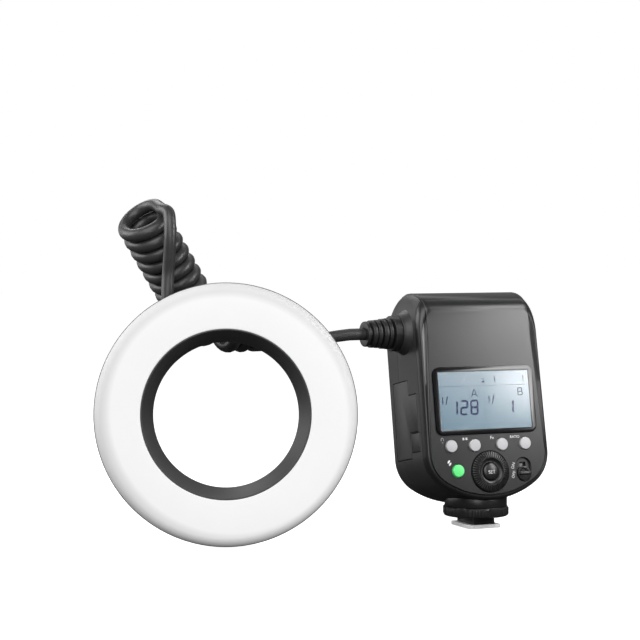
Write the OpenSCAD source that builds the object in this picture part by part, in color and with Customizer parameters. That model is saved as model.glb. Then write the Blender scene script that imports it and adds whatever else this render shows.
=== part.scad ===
// Macro ring flash: a ring-shaped flash head on a curly cord, and the control unit that drives it.
// Millimetres. The origin is the centre of the shoe foot's underside, -Y is the display side, +Z is up.
// The panel frame leans back with the display: x across, y into the body, z up along the panel.
// The ring frame stands with the ring head: x across, y up, z out of its white front.

/* [Control unit] */
// Width of the body
body_w = 74.2; // [70:0.1:78]
// Depth of the body, square to the panel
body_depth = 47.5; // [46:0.5:50]
// Height of the body's crest, along the panel
body_top = 132.4; // [130:0.2:136]
// Height of the body's lower edge, along the panel
body_bottom = 17; // [16.4:0.1:17.8]
// How far the panel leans back, in degrees
face_lean = 10.4; // [9:0.1:12]
// Distance of the panel plane in front of the foot's axis, at the floor
face_front = 22.7; // [21:0.1:24]
// Width of the roll round the panel
face_border = 3.5; // [2.8:0.1:4]
// Depth of the roll round the panel
border_depth = 3.6; // [3:0.1:4]
// Width of the rounding of the body's upper corners
top_corner_w = 7.5; // [6:0.5:10]
// Height of the rounding of the body's upper corners
top_corner_h = 16; // [12:0.5:18]
// Radius of the body's lower corners
bottom_corner_r = 20.6; // [18:0.1:22]
// Radius of the body's curved lower edge
bottom_arc_r = 51; // [48:1:60]
// How much narrower each side is at the top than low down
top_taper = 1; // [0.6:0.1:2]
// Height of the rounding from the panel up to the crest
top_round_h = 13.3; // [12:0.1:15]
// Depth at which the top is highest
crest_depth = 23; // [22:0.5:26]
// How far the top falls from the crest to the back
rear_drop = 23.6; // [20:0.2:26]
// How much further the back leans than the panel, in degrees
rear_lean = 1.7; // [0:0.1:3]
// Depth of the face cover's rim
face_split = 4.4; // [4:0.1:5]
// How far in from each side the band that wraps over the top has its edge
band_inset = 6.2; // [5.5:0.1:7]
// Height at which that band starts
band_start = 104; // [102:0.5:106]
// Depth at which the main shell ends and the rear cover begins
rear_split = 29; // [28.5:0.1:29.5]
// Draft of the rear cover's sides, in degrees
rear_draft = 3; // [2:0.1:5]
// Radius round the rear cover's edge
rear_edge_r = 6; // [4:0.5:7]
// Thickness of the panel wall
panel_wall = 2.6; // [2.4:0.1:2.8]
// Thickness of the side walls
side_wall = 3; // [2.6:0.1:3.2]
// Thickness of the body's floor over the shoe
floor_wall = 5.2; // [4.8:0.1:6]
// Width of the seam between two covers
seam = 0.2; // [0.1:0.05:0.3]

/* [Display] */
// Width of the bezel
lcd_w = 60; // [58:0.5:62]
// Height of the bezel
lcd_h = 36.4; // [35:0.2:37]
// Height of the display's centre, along the panel
lcd_z = 70.7; // [70:0.1:71.5]
// Corner radius of the bezel
lcd_corner_r = 4; // [3:0.5:5]
// Width of the visible screen
screen_w = 54.6; // [53:0.2:55.6]
// Height of the visible screen
screen_h = 31.2; // [31:0.2:32.6]
// How far the bezel stands proud of the panel
bezel_proud = 0.9; // [0.6:0.1:1.2]
// How deep the bezel sits in the panel
bezel_sunk = 1.2; // [1:0.1:1.4]

/* [Buttons, dial and switch] */
// Diameter of a function button and of the test button
button_d = 6.5; // [6.2:0.1:7.4]
// Height of the row of function buttons, along the panel
button_z = 46.5; // [46:0.1:47]
// Place of the two inner function buttons, left and right of the middle
button_inner_x = 8.2; // [7.8:0.1:8.8]
// Place of the two outer function buttons, left and right of the middle
button_outer_x = 22.2; // [21.5:0.1:23]
// How far a button stands proud of the panel
button_proud = 1.3; // [1:0.1:1.6]
// Travel of a button
button_travel = 0.7; // [0.5:0.05:0.8]
// Place of the test button across the panel
test_x = -19.2; // [-20:0.1:-18.6]
// Height of the test button, along the panel
test_z = 33.2; // [32.6:0.1:34]
// Diameter of the select dial
dial_d = 22.4; // [21.5:0.1:23]
// Height of the select dial's centre, along the panel
dial_z = 32.1; // [31.8:0.1:32.6]
// How far the dial stands proud of the panel
dial_proud = 1.8; // [1.4:0.1:2.2]
// Number of ribs on the dial
dial_ribs = 40; // [30:2:48]
// Diameter of the dial's hub in the panel
dial_hub_d = 15; // [14:0.1:16]
// Diameter of the SET button in the dial
set_d = 9.4; // [8.4:0.1:9.6]
// Place of the power switch across the panel
switch_x = 20.5; // [20:0.1:21]
// Height of the power switch's slot, along the panel
switch_z = 32.4; // [32:0.1:33]
// Width of the power switch's slot
switch_w = 8.1; // [7.8:0.1:8.4]
// Length of the power switch's slot
switch_l = 12.4; // [12:0.1:12.8]
// Clearance round a button, dial or knob
key_gap = 0.2; // [0.15:0.01:0.25]
// Radial clearance of a running fit
run_gap = 0.05; // [0.03:0.01:0.08]

/* [Board, capacitor and battery] */
// Depth of the main board's front face
board_depth = 9; // [8.8:0.1:9.4]
// Thickness of a circuit board
board_t = 1.6; // [1.2:0.1:1.8]
// Diameter of the main capacitor
capacitor_d = 20; // [18:0.5:21]
// Length of the main capacitor
capacitor_l = 46; // [40:0.5:47]
// Thickness of the terminal block at the battery's inner end
terminal_t = 5.5; // [5:0.1:9]
// Depth at which the battery block starts
battery_front = 18.6; // [18.2:0.1:19]
// Thickness of the battery block, into the body
battery_t = 17.9; // [17:0.1:18.2]
// Height of the battery block, along the panel
battery_h = 38; // [36:0.2:39]
// Height of the battery's middle, along the panel
battery_z = 63; // [62.8:0.1:63.2]
// Clearance round the battery and its latch
battery_gap = 0.25; // [0.2:0.01:0.3]
// Travel of the battery latch
latch_travel = 1.2; // [1:0.1:1.4]

/* [Shoe] */
// Width of the foot plate
foot_w = 18.6; // [18.5:0.01:18.65]
// Length of the foot plate
foot_l = 22; // [20:0.1:23]
// Thickness of the foot plate
foot_t = 2; // [1.9:0.01:2]
// Width of the neck above the foot plate
neck_w = 12.5; // [12.2:0.05:12.6]
// Height of the lock wheel's underside
wheel_z = 6.3; // [6:0.1:6.6]
// Thickness of the lock wheel
wheel_t = 5.2; // [4.8:0.1:5.4]
// Diameter of the lock wheel
wheel_d = 36; // [34:0.5:38]
// Number of grip lobes on the lock wheel
wheel_lobes = 6; // [5:1:8]
// Turn of the lock wheel's lobes, in degrees
wheel_turn = -22.9; // [-30:0.1:30]
// Room round the lock wheel in the body's underside
wheel_room = 1.5; // [1:0.1:2]
// Diameter of the shoe collar
collar_d = 34; // [32:0.5:36]
// How deep the collar sits in the body's underside
collar_seat = 1.2; // [1:0.1:1.4]
// Diameter of the stem that the wheel turns on
stem_d = 14; // [13:0.1:15]
// Diameter of the lock pin
lock_pin_d = 2.4; // [2.2:0.05:2.5]
// Diameter of the centre contact
contact_d = 2.6; // [2.4:0.1:2.8]

/* [Ring head] */
// Outside diameter of the ring head
ring_d = 134.6; // [132:0.2:138]
// Clear diameter of the lens opening
lens_opening_d = 75; // [74:0.1:76]
// Diameter of the inner edge of the white diffuser
diffuser_in_d = 87; // [86:0.2:88]
// Wall of the diffuser
diffuser_t = 2; // [1.6:0.1:2.2]
// Radius round the diffuser's outer edge
diffuser_edge_r = 4.4; // [4:0.1:4.8]
// Depth of the flange behind the front plane
flange_depth = 9.8; // [9.6:0.1:10.4]
// Room from the adapter seat out to the outside of the rear housing
seat_room = 14.5; // [14.5:0.1:15.5]
// Room from the diffuser's inner edge out to the outside of the rear housing
reflector_room = 12.5; // [12.5:0.1:13.5]
// Depth of the ring head
ring_depth = 26; // [25:0.2:28]
// Diameter of the seat for a lens adapter
adapter_seat_d = 83; // [82.6:0.1:83.4]
// Depth of the seat for a lens adapter
adapter_seat_l = 5; // [4.6:0.1:5.4]
// Wall of the rear housing
housing_wall = 2; // [1.8:0.1:2.2]
// Distance of the flash tubes outside the diffuser's inner edge
tube_inset = 7.1; // [6.8:0.1:7.4]
// Diameter of a flash tube
tube_d = 4.4; // [4:0.1:4.6]
// Turn of the ring's front to the left, in degrees
ring_yaw = 20.3; // [18:0.1:24]
// How far the ring leans back, in degrees
ring_lean = 5.1; // [3:0.1:6]
// Place of the ring's front centre across
ring_x = -152.6; // [-156:0.1:-150]
// Place of the ring's front centre, front to back
ring_y = -21; // [-24:0.1:-18]
// Travel of an adapter release button
release_travel = 2; // [1.5:0.1:2.2]

/* [Cord] */
// Diameter of the cord
cord_d = 6.4; // [6:0.1:6.5]
// Radius of the curls at the middle of the cord
curl_r = 10.7; // [10.4:0.1:11.5]
// Depth of the gland on the left side
gland_depth = 19; // [18:0.1:20]
// Height of the gland, along the panel
gland_z = 110.3; // [109.5:0.1:111]

/* [Hidden] */
$fn = 64;

// Small overlap that keeps cuts clean
eps = 0.5;
charcoal = [0.16, 0.16, 0.17];
black = [0.06, 0.06, 0.065];
grey_key = [0.84, 0.84, 0.85];
silver = [0.78, 0.78, 0.8];
board_green = [0.1, 0.3, 0.16];
white = [0.95, 0.95, 0.95];
rubber_grey = [0.2, 0.2, 0.205];

// Body outline: corner places that do not change with the inset
half_w = body_w / 2;
arc_centre_z = body_bottom + bottom_arc_r;
corner_x = half_w - bottom_corner_r;
corner_z = arc_centre_z - sqrt(pow(bottom_arc_r - bottom_corner_r, 2) - pow(corner_x, 2));
tangent_angle = atan2(corner_z - arc_centre_z, corner_x);
cavity_back = body_depth - 6;
cavity_top = body_top - 15.6;
capacitor_room_x = half_w - 11.5;
band_w = body_w - 2 * band_inset;
lean_pivot = (body_top + body_bottom) / 2;

// Insides of the control unit
button_xs = [-button_outer_x, -button_inner_x, button_inner_x, button_outer_x];
button_flange_t = 1;
button_flange = 1;
stem_end = board_depth - 1.7;
switch_top = board_depth - 0.8;
knob_travel = switch_l - switch_w;
knob_z = switch_z - knob_travel / 2;
board_top_z = 101;
board_bottom_z = 27;
board_edge_x = half_w - side_wall - 2.5;
plate_inner_x = half_w - side_wall - 0.3;
door_cut_x = half_w - side_wall - top_taper - 0.3;
terminal_end_x = half_w - side_wall - 0.6 * top_taper;
terminal_gap = 0.3;
battery_l = plate_inner_x + terminal_end_x - terminal_t - terminal_gap;
terminal_h = battery_h - 14;
door_front = battery_front - 0.4;
door_back = battery_front + battery_t + 1;
door_low = battery_z - battery_h / 2 - 2;
door_high = battery_z + battery_h / 2 + 2.2;
tab_front = door_front - 9.7;
tab_low = door_low + 14;
tab_high = door_high - 8.2;
latch_front = tab_front - 1.3;
latch_back = door_front - 1.6;
latch_low = door_low + 3.2;
latch_high = tab_low - 1;
low_boss_x = half_w - 14.5;
low_boss_z = body_bottom + 16;
high_boss_x = half_w - 6.3;
high_boss_z = body_top - 38.6;
boss_xz = [[-low_boss_x, low_boss_z], [low_boss_x, low_boss_z], [-high_boss_x, high_boss_z],
    [high_boss_x, high_boss_z]];
boss_r = 3.5;
boss_rib_low = arc_centre_z - sqrt(pow(bottom_arc_r - side_wall / 2, 2) - pow(low_boss_x, 2));
screw_r = 1.5;
screw_head_r = 2.6;
screw_tip_room = 2;
screw_head_h = 1.8;
screw_sink = 2.4;
screw_tip = board_depth + board_t + 2 * screw_tip_room;
screw_seat = body_depth - screw_head_h - screw_sink;

// Gland and boot on the left side
gland_wall_x = half_w - top_taper;
gland_l = 4.2;
gland_tip_x = gland_wall_x + gland_l;
gland_base_r = 11.8;
gland_tip_r = 10.2;
boot_l = 19.5;
boot_r = 9.75;
boot_tip = [-gland_tip_x - boot_l,
    -face_front + gland_depth * cos(face_lean) + gland_z * sin(face_lean),
    gland_z * cos(face_lean) - gland_depth * sin(face_lean)];

// Shoe
collar_z = wheel_z + wheel_t + 0.2;
neck_l = foot_l - 2;
insulator_w = 11;
insulator_l = 12;
insulator_up = 0.15;
contact_xy = [[-3.6, -3.4], [3.6, -3.4], [-3.6, 3.4], [3.6, 3.4]];
small_contact_d = 1.6;
contact_rise = 0.1;
contact_top = 3;
contact_travel = 0.8;
lock_pin_y = foot_l / 2 - 2.6;
lock_pin_rise = 0.2;
foot_screw_xy = [[-3.6, -8.6], [3.6, -8.6], [-4.4, 8], [4.4, 8]];

// Ring head
ring_r = ring_d / 2;
ring_z = ring_r * cos(ring_lean) + flange_depth * sin(ring_lean);
rim_step = 0.4;
rim_front = 5;
flange_t = 2;
bezel_gap = 0.2;
bezel_t = 1.4;
funnel_depth = 14;
seat_front = ring_depth - adapter_seat_l;
shoulder_t = 2;
lens_r = lens_opening_d / 2;
seat_r = adapter_seat_d / 2;
seat_wall = 2.1;
housing_d = max(adapter_seat_d + 2 * seat_room, diffuser_in_d + 2 * reflector_room);
housing_r = housing_d / 2;
tube_ring_r = diffuser_in_d / 2 + tube_inset;
lip_out_r = ring_r - rim_step - diffuser_t - bezel_gap;
lip_in_r = lip_out_r - 1.8;
lip_z = -rim_front + 1.4;
trough_depth = 11.4;
trough_wall = 0.8;
tube_z = -7.6;
tube_span = 160;
holder_span = 7;
trigger_depth = 14;
post_angles = [40, 140, 220, 320];
post_r = 2.6;
post_ring_r = (seat_r + seat_wall + housing_r - housing_wall) / 2;
release_w = 14;
release_h = 6.4;
release_z = -ring_depth + 6.4;
release_proud = 2.6;
tail_x = -30;
tail_z = -16;
ring_boot_base = sqrt(pow(housing_r, 2) - pow(tail_x, 2));
ring_boot_top = ring_boot_base + 10.714;

// Cord: the lead's points in the part's frame, and the tail's in the ring frame
lead_points = [[-68, 16, 105], [-75, 16.2, 104.3], [-82, 17, 103.3], [-89, 18, 102.2],
    [-96, 19.3, 101.1], [-102, 21.5, 100], [-106.6, 25.7, 99.1]];
tail_points = [[-29.5, 104, -14], [-28.6, 98, -11.2], [-28.6, 90, -11], [-29, 81, -13.2], [-29.6, 73, -15.6],
    [-30, 65, -16]];
// Curls: the open end of their axis, the way it points there, and the way the axis starts
curl_end = [-182.2, 27.3, 168.2];
curl_end_dir = [-53.2, -23.6, 76];
curl_start_dir = [-1, 0, 0];
curl_bend_r = 27.3;
end_length = 59.8;
start_length = 13.8;
end_turns = 8.44;
bend_turns = 2.16;
start_turns = 1.96;
rings_per_turn = 8;
curl_sides = 6;
lead_sides = 10;

// Frames
module panel_frame() {
    translate([0, -face_front, 0])
        rotate([-face_lean, 0, 0])
            children();
}

module ring_frame() {
    translate([ring_x, ring_y, ring_z])
        rotate([0, 0, -ring_yaw])
            rotate([90 - ring_lean, 0, 0])
                children();
}

function from_ring(p) =
    let (
        y = p[1] * sin(ring_lean) - p[2] * cos(ring_lean),
        z = p[1] * cos(ring_lean) + p[2] * sin(ring_lean)
    )
    [ring_x + p[0] * cos(ring_yaw) + y * sin(ring_yaw),
     ring_y - p[0] * sin(ring_yaw) + y * cos(ring_yaw),
     ring_z + z];

// Shapes used in many places
module peg(x, z, r, y0, y1) {
    translate([x, y0, z])
        rotate([-90, 0, 0])
            cylinder(r = r, h = y1 - y0);
}

module block(x0, x1, y0, y1, z0, z1) {
    translate([x0, y0, z0])
        cube([x1 - x0, y1 - y0, z1 - z0]);
}

module plate(w, h, r, y0, y1, z) {
    translate([0, y1, z])
        rotate([90, 0, 0])
            linear_extrude(y1 - y0)
                union() {
                    square([w - 2 * r, h], center = true);
                    square([w, h - 2 * r], center = true);
                    for (sx = [-1, 1], sz = [-1, 1])
                        translate([sx * (w / 2 - r), sz * (h / 2 - r)])
                            circle(r = r);
                }
}

function arc_points(cx, cy, r, a0, a1, n, from) =
    [for (i = [from:n]) let (a = a0 + (a1 - a0) * i / n) [cx + r * cos(a), cy + r * sin(a)]];

// Body form: one outline for each depth, joined into a skin
function right_side(inset, top) =
    concat(
        arc_points(0, arc_centre_z, bottom_arc_r - inset, -90, tangent_angle, 6, 0),
        arc_points(corner_x, corner_z, bottom_corner_r - inset, tangent_angle, 0, 7, 1),
        [for (i = [0:7])
            let (a = 90 * i / 7)
            [half_w - inset - top_taper - top_corner_w * (1 - cos(a)), top - top_corner_h * (1 - sin(a))]]);

function outline(inset, top) =
    let (side = right_side(inset, top))
    concat(side, [for (i = [len(side) - 1:-1:1]) [-side[i][0], side[i][1]]]);

function edge_round(y) =
    let (t = max(0, y - body_depth + rear_edge_r))
    rear_edge_r - sqrt(pow(rear_edge_r, 2) - t * t);

function inset_at(y) =
    y < border_depth ? face_border * (1 - sqrt(1 - pow(1 - y / border_depth, 2)))
    : y < rear_split ? 0
    : (y - rear_split) * tan(rear_draft) + edge_round(y);

function top_at(y) =
    y < crest_depth
    ? body_top - top_round_h * (1 - sqrt(1 - pow((crest_depth - y) / crest_depth, 2)))
    : body_top - rear_drop * (1 - sqrt(1 - pow((y - crest_depth) / (body_depth - crest_depth), 2)));

function slice_depths() =
    concat(
        [for (a = [0:30:90]) border_depth * (1 - cos(a))],
        [for (a = [34:14:90]) crest_depth * (1 - cos(a))],
        [rear_split],
        [for (a = [20:14:90]) crest_depth + (body_depth - crest_depth) * sin(a)]);

// The back leans a little more than the panel
function leaned(y, z) = y + y / body_depth * tan(rear_lean) * (z - lean_pivot);

module slab(inset, top, y0, y1) {
    translate([0, y1, 0])
        rotate([90, 0, 0])
            linear_extrude(y1 - y0)
                polygon(outline(inset, top));
}

module body_form() {
    depths = slice_depths();
    points = [for (y = depths, p = outline(inset_at(y), top_at(y))) [p[0], leaned(y, p[1]), p[1]]];
    n = len(points) / len(depths);
    last = len(points) - n;
    walls = [for (i = [0:n:last - n], k = [0:n - 1], half = [0, 1])
        let (a = i + k, b = i + (k + 1) % n)
        half == 0 ? [a, b, b + n] : [a, b + n, a + n]];
    polyhedron(points, concat(walls, [[for (k = [n - 1:-1:0]) k]], [[for (k = [0:n - 1]) last + k]]));
}

module body_cavity() {
    intersection() {
        slab(side_wall, cavity_top, panel_wall, cavity_back);
        block(-body_w, body_w, 0, body_depth, body_bottom + floor_wall, body_top);
    }
    block(-capacitor_room_x, capacitor_room_x, crest_depth - 12, crest_depth + 10,
        cavity_top - eps, body_top - 4.6);
}

// Room that the main shell leaves for the face cover
module face_room() {
    block(-body_w, body_w, -eps, face_split + seam, 0, body_top + eps);
    block(-band_w / 2 - seam, band_w / 2 + seam, -eps, rear_split - seam / 2,
        band_start - seam, body_top + eps);
}

// Band that carries the panel over the top, with straight edges
module band_form() {
    depths = [for (y = slice_depths()) if (y <= crest_depth) y];
    back = rear_split - seam / 2;
    translate([-band_w / 2, 0, 0])
        rotate([90, 0, 90])
            linear_extrude(band_w)
                polygon(concat(
                    [[0, band_start]],
                    [for (y = depths) [leaned(y, top_at(y)), top_at(y)]],
                    [[back, top_at(back)], [back, band_start]]));
}

// Room under the body for the lock wheel and the collar
module shoe_room() {
    cylinder(d = wheel_d + 2 * wheel_room, h = collar_z);
    cylinder(d = collar_d + 2 * seam, h = collar_z + collar_seat);
}

// Face cover
module face_openings() {
    plate(lcd_w + 2 * seam, lcd_h + 2 * seam, lcd_corner_r + seam, -eps, bezel_sunk, lcd_z);
    block(-screen_w / 2 - 0.6, screen_w / 2 + 0.6, 0, panel_wall + eps,
        lcd_z - screen_h / 2 - 0.6, lcd_z + screen_h / 2 + 0.6);
    for (x = button_xs)
        peg(x, button_z, button_d / 2 + key_gap, -eps, panel_wall + eps);
    peg(test_x, test_z, button_d / 2 + key_gap, -eps, panel_wall + eps);
    peg(0, dial_z, dial_d / 2 + key_gap, -eps, 1);
    peg(0, dial_z, dial_hub_d / 2 + run_gap, -eps, panel_wall + eps);
    switch_slot(switch_w / 2, -eps, 1.2);
    block(switch_x - 1.9, switch_x + 1.9, 0, panel_wall + eps,
        switch_z - knob_travel / 2 - 1.9, switch_z + knob_travel / 2 + 1.9);
}

module switch_slot(r, y0, y1) {
    for (s = [-1, 1])
        peg(switch_x, switch_z + s * knob_travel / 2, r, y0, y1);
    block(switch_x - r, switch_x + r, y0, y1, switch_z - knob_travel / 2, switch_z + knob_travel / 2);
}

module face_cover() {
    color(charcoal)
        panel_frame()
            difference() {
                union() {
                    intersection() {
                        body_form();
                        block(-body_w, body_w, -eps, face_split, 0, body_top + eps);
                    }
                    band_form();
                }
                body_cavity();
                face_openings();
            }
}

// Main shell and rear cover
module door_shape(grow, x0, x1) {
    block(x0, x1, door_front - grow, door_back + grow, door_low - grow, door_high + grow);
    block(x0, x1, tab_front - grow, door_front + eps, tab_low - grow, tab_high + grow);
}

module latch_shape(grow, x0, x1) {
    block(x0, x1, latch_front - grow, latch_back + grow, latch_low - grow, latch_high + grow);
}

module gland_boss(grow) {
    translate([-gland_wall_x + 2, gland_depth, gland_z])
        rotate([0, -90, 0])
            cylinder(r1 = gland_base_r + grow, r2 = gland_tip_r + grow, h = gland_tip_x - gland_wall_x + 2);
}

module bosses(y0, y1) {
    for (p = boss_xz)
        peg(p[0], p[1], boss_r, y0, y1);
    for (p = [boss_xz[0], boss_xz[1]])
        block(p[0] - 1, p[0] + 1, y0, y1, boss_rib_low, p[1]);
}

module boss_bores(r, y0, y1) {
    for (p = boss_xz)
        peg(p[0], p[1], r, y0, y1);
}

module main_shell() {
    color(charcoal)
        difference() {
            panel_frame()
                difference() {
                    union() {
                        difference() {
                            intersection() {
                                body_form();
                                block(-body_w, body_w, -eps, rear_split - seam / 2, 0, body_top + eps);
                            }
                            face_room();
                            body_cavity();
                        }
                        difference() {
                            gland_boss(0);
                            slab(side_wall, cavity_top, panel_wall, cavity_back);
                        }
                        bosses(board_depth + board_t, rear_split - seam / 2);
                    }
                    door_shape(battery_gap, -body_w, -door_cut_x);
                    latch_shape(battery_gap, -body_w, -door_cut_x);
                    translate([-body_w, gland_depth, gland_z])
                        rotate([0, 90, 0])
                            cylinder(r = cord_d / 2 + 1.2, h = body_w - plate_inner_x + 4);
                    boss_bores(screw_r, board_depth + board_t + screw_tip_room, rear_split + eps);
                }
            shoe_room();
        }
}

module rear_cover() {
    color(charcoal)
        difference() {
            panel_frame()
                difference() {
                    union() {
                        difference() {
                            intersection() {
                                body_form();
                                block(-body_w, body_w, rear_split + seam / 2, 2 * body_depth,
                                    0, body_top + eps);
                            }
                            body_cavity();
                            gland_boss(seam);
                        }
                        bosses(rear_split + seam / 2, cavity_back + eps);
                    }
                    door_shape(battery_gap, -body_w, -door_cut_x);
                    boss_bores(screw_r, rear_split - eps, 2 * body_depth);
                    boss_bores(screw_head_r, screw_seat, 2 * body_depth);
                }
            shoe_room();
        }
}

module body_screws() {
    color(silver)
        panel_frame()
            for (p = boss_xz) {
                peg(p[0], p[1], screw_r - run_gap, screw_tip, screw_seat);
                peg(p[0], p[1], screw_head_r - key_gap, screw_seat, screw_seat + screw_head_h);
            }
}

// Display
module lcd_bezel() {
    color(black)
        panel_frame()
            difference() {
                plate(lcd_w, lcd_h, lcd_corner_r, -bezel_proud, bezel_sunk, lcd_z);
                block(-screen_w / 2, screen_w / 2, -bezel_proud - eps, bezel_sunk + eps,
                    lcd_z - screen_h / 2, lcd_z + screen_h / 2);
            }
}

module lcd_window() {
    color([0.75, 0.85, 0.9, 0.3])
        panel_frame()
            block(-screen_w / 2 + 0.05, screen_w / 2 - 0.05, -bezel_proud + 0.15, 0.3,
                lcd_z - screen_h / 2 + 0.05, lcd_z + screen_h / 2 - 0.05);
}

module lcd_panel() {
    color([0.6, 0.78, 0.88])
        panel_frame()
            block(-screen_w / 2 + 0.05, screen_w / 2 - 0.05, 0.3, panel_wall,
                lcd_z - screen_h / 2 + 0.05, lcd_z + screen_h / 2 - 0.05);
}

module lcd_backlight() {
    color(white)
        panel_frame()
            block(-screen_w / 2 - 1.5, screen_w / 2 + 1.5, panel_wall, board_depth,
                lcd_z - screen_h / 2 - 1, lcd_z + screen_h / 2 + 1);
}

// Buttons: a cap through the panel, a flange behind it and a stem to its switch
module push_button(x, z, d, proud) {
    panel_frame() {
        peg(x, z, d / 2, -proud, panel_wall + 0.1);
        peg(x, z, d / 2 + button_flange, panel_wall + 0.1, panel_wall + 0.1 + button_flange_t);
        peg(x, z, 1.2, panel_wall + 0.1 + button_flange_t, stem_end);
    }
}

module function_button(i) {
    color(grey_key)
        push_button(button_xs[i], button_z, button_d, button_proud);
}

module function_button_1() {
    function_button(0);
}

module function_button_2() {
    function_button(1);
}

module function_button_3() {
    function_button(2);
}

module function_button_4() {
    function_button(3);
}

module test_button() {
    color([0.43, 0.94, 0.55])
        push_button(test_x, test_z, button_d, button_proud);
}

module set_button() {
    color(black)
        panel_frame() {
            peg(0, dial_z, set_d / 2, -dial_proud - 0.5, 3);
            peg(0, dial_z, 1.2, 3, stem_end);
        }
}

// Select dial: a ribbed rim on a hub that turns in the panel
module select_dial() {
    color(black)
        panel_frame()
            difference() {
                union() {
                    peg(0, dial_z, dial_d / 2, -dial_proud, 0.8);
                    peg(0, dial_z, dial_hub_d / 2, 0.8, panel_wall + 1.6);
                }
                peg(0, dial_z, set_d / 2 + key_gap, -dial_proud - eps, panel_wall + 2);
                for (i = [0:dial_ribs - 1])
                    translate([0, 0, dial_z])
                        rotate([0, i * 360 / dial_ribs, 0])
                            translate([0, 0, -dial_z])
                                peg(dial_d / 2 + 0.25, dial_z, 0.6, -dial_proud - eps, 0.2);
                peg(0, dial_z, dial_d / 2 - 3.6, -dial_proud - eps, -dial_proud + 0.5);
            }
}

module dial_encoder() {
    color(black)
        panel_frame()
            difference() {
                block(-8.6, 8.6, panel_wall + 1.8, board_depth, dial_z - 5.1, dial_z + 7.4);
                peg(0, dial_z, 3.2, 0, board_depth + eps);
            }
}

// Power switch: the knob, its ridge, the stem through the panel and a plate behind that keeps the slot shut
module power_switch() {
    color(black)
        panel_frame() {
            peg(switch_x, knob_z, switch_w / 2 - key_gap, -0.4, 1);
            block(switch_x - 3.2, switch_x + 3.2, -1.5, -0.4, knob_z - 0.7, knob_z + 0.7);
            block(switch_x - 1.5, switch_x + 1.5, 1, panel_wall + 0.2, knob_z - 1.5, knob_z + 1.5);
            block(switch_x - 3, switch_x + 3, panel_wall + 0.2, panel_wall + 1.2,
                knob_z - 3.5, knob_z + 6.4);
        }
}

module switch_body() {
    color(silver)
        panel_frame()
            block(switch_x - 3.6, switch_x + 3.6, panel_wall + 1.4, board_depth,
                switch_z - 4.4, switch_z + 6.4);
}

// Main board, key switches and capacitor
module main_board() {
    color(board_green)
        panel_frame()
            intersection() {
                block(-board_edge_x, board_edge_x, board_depth, board_depth + board_t,
                    board_bottom_z, board_top_z);
                slab(side_wall + 0.4, cavity_top, panel_wall, cavity_back);
            }
}

module key_switches() {
    color(silver)
        panel_frame() {
            for (x = button_xs)
                peg(x, button_z, 2.2, switch_top, board_depth);
            peg(test_x, test_z, 2.2, switch_top, board_depth);
            peg(0, dial_z, 2.2, switch_top, board_depth);
        }
}

module main_capacitor() {
    color([0.2, 0.22, 0.3])
        panel_frame()
            translate([-capacitor_l / 2, board_depth + board_t + capacitor_d / 2, board_top_z + 2])
                rotate([0, 90, 0])
                    cylinder(d = capacitor_d, h = capacitor_l);
}

// Battery and its latch
module battery_pack() {
    color(black)
        panel_frame() {
            intersection() {
                body_form();
                door_shape(0, -body_w, -plate_inner_x);
            }
            block(-plate_inner_x, -plate_inner_x + battery_l, battery_front,
                battery_front + battery_t, battery_z - battery_h / 2, battery_z + battery_h / 2);
        }
}

module battery_latch() {
    color(black)
        panel_frame()
            intersection() {
                body_form();
                latch_shape(0, -body_w, -plate_inner_x);
            }
}

module battery_terminal() {
    color(charcoal)
        panel_frame()
            block(terminal_end_x - terminal_t, terminal_end_x, battery_front, cavity_back,
                battery_z - terminal_h / 2, battery_z + terminal_h / 2);
}

// Ribbed strain relief on the control unit's side
module boot_profile() {
    polygon(concat(
        [[0, 0], [boot_r, 0], [boot_r, 0.205 * boot_l], [0.92 * boot_r, 0.246 * boot_l]],
        [for (i = [0:2], k = [0:3])
            let (rib = 0.349 + 0.264 * i)
            [boot_r * (k < 2 ? 0.636 - 0.055 * i : 0.841 - 0.073 * i),
             boot_l * (k == 0 ? rib - 0.103 : k == 3 ? min(1, rib + 0.161) : rib)]],
        [[0, boot_l]]));
}

module cable_boot() {
    color(rubber_grey)
        panel_frame()
            translate([-gland_tip_x, gland_depth, gland_z])
                rotate([0, -90, 0])
                    rotate_extrude()
                        boot_profile();
}

// Shoe: collar, lock wheel, neck and foot
module shoe_collar() {
    color(black)
        translate([0, 0, collar_z])
            cylinder(d = collar_d, h = collar_seat);
    color(black)
        difference() {
            translate([0, 0, collar_z])
                cylinder(d = collar_d, h = body_bottom);
            panel_frame()
                slab(0, body_top, -body_depth, 2 * body_depth);
        }
}

module lock_wheel() {
    color(black)
        difference() {
            translate([0, 0, wheel_z])
                union() {
                    cylinder(r1 = wheel_d / 2 - 0.8, r2 = wheel_d / 2, h = 0.8);
                    translate([0, 0, 0.8])
                        cylinder(d = wheel_d, h = wheel_t - 1.6);
                    translate([0, 0, wheel_t - 0.8])
                        cylinder(r1 = wheel_d / 2, r2 = wheel_d / 2 - 0.8, h = 0.8);
                }
            translate([0, 0, wheel_z - eps])
                cylinder(d = stem_d + 2 * run_gap, h = wheel_t + 2 * eps);
            for (i = [0:wheel_lobes - 1])
                rotate([0, 0, (i + 0.5) * 360 / wheel_lobes + wheel_turn])
                    translate([0, -wheel_d / 2 - 7, wheel_z - eps])
                        cylinder(r = 8.2, h = wheel_t + 2 * eps);
            for (i = [0:wheel_lobes - 1], k = [-2:2])
                rotate([0, 0, i * 360 / wheel_lobes + k * 5.2 + wheel_turn])
                    translate([0, -wheel_d / 2 - 0.15, wheel_z - eps])
                        cylinder(r = 0.55, h = wheel_t + 2 * eps);
        }
}

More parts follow.
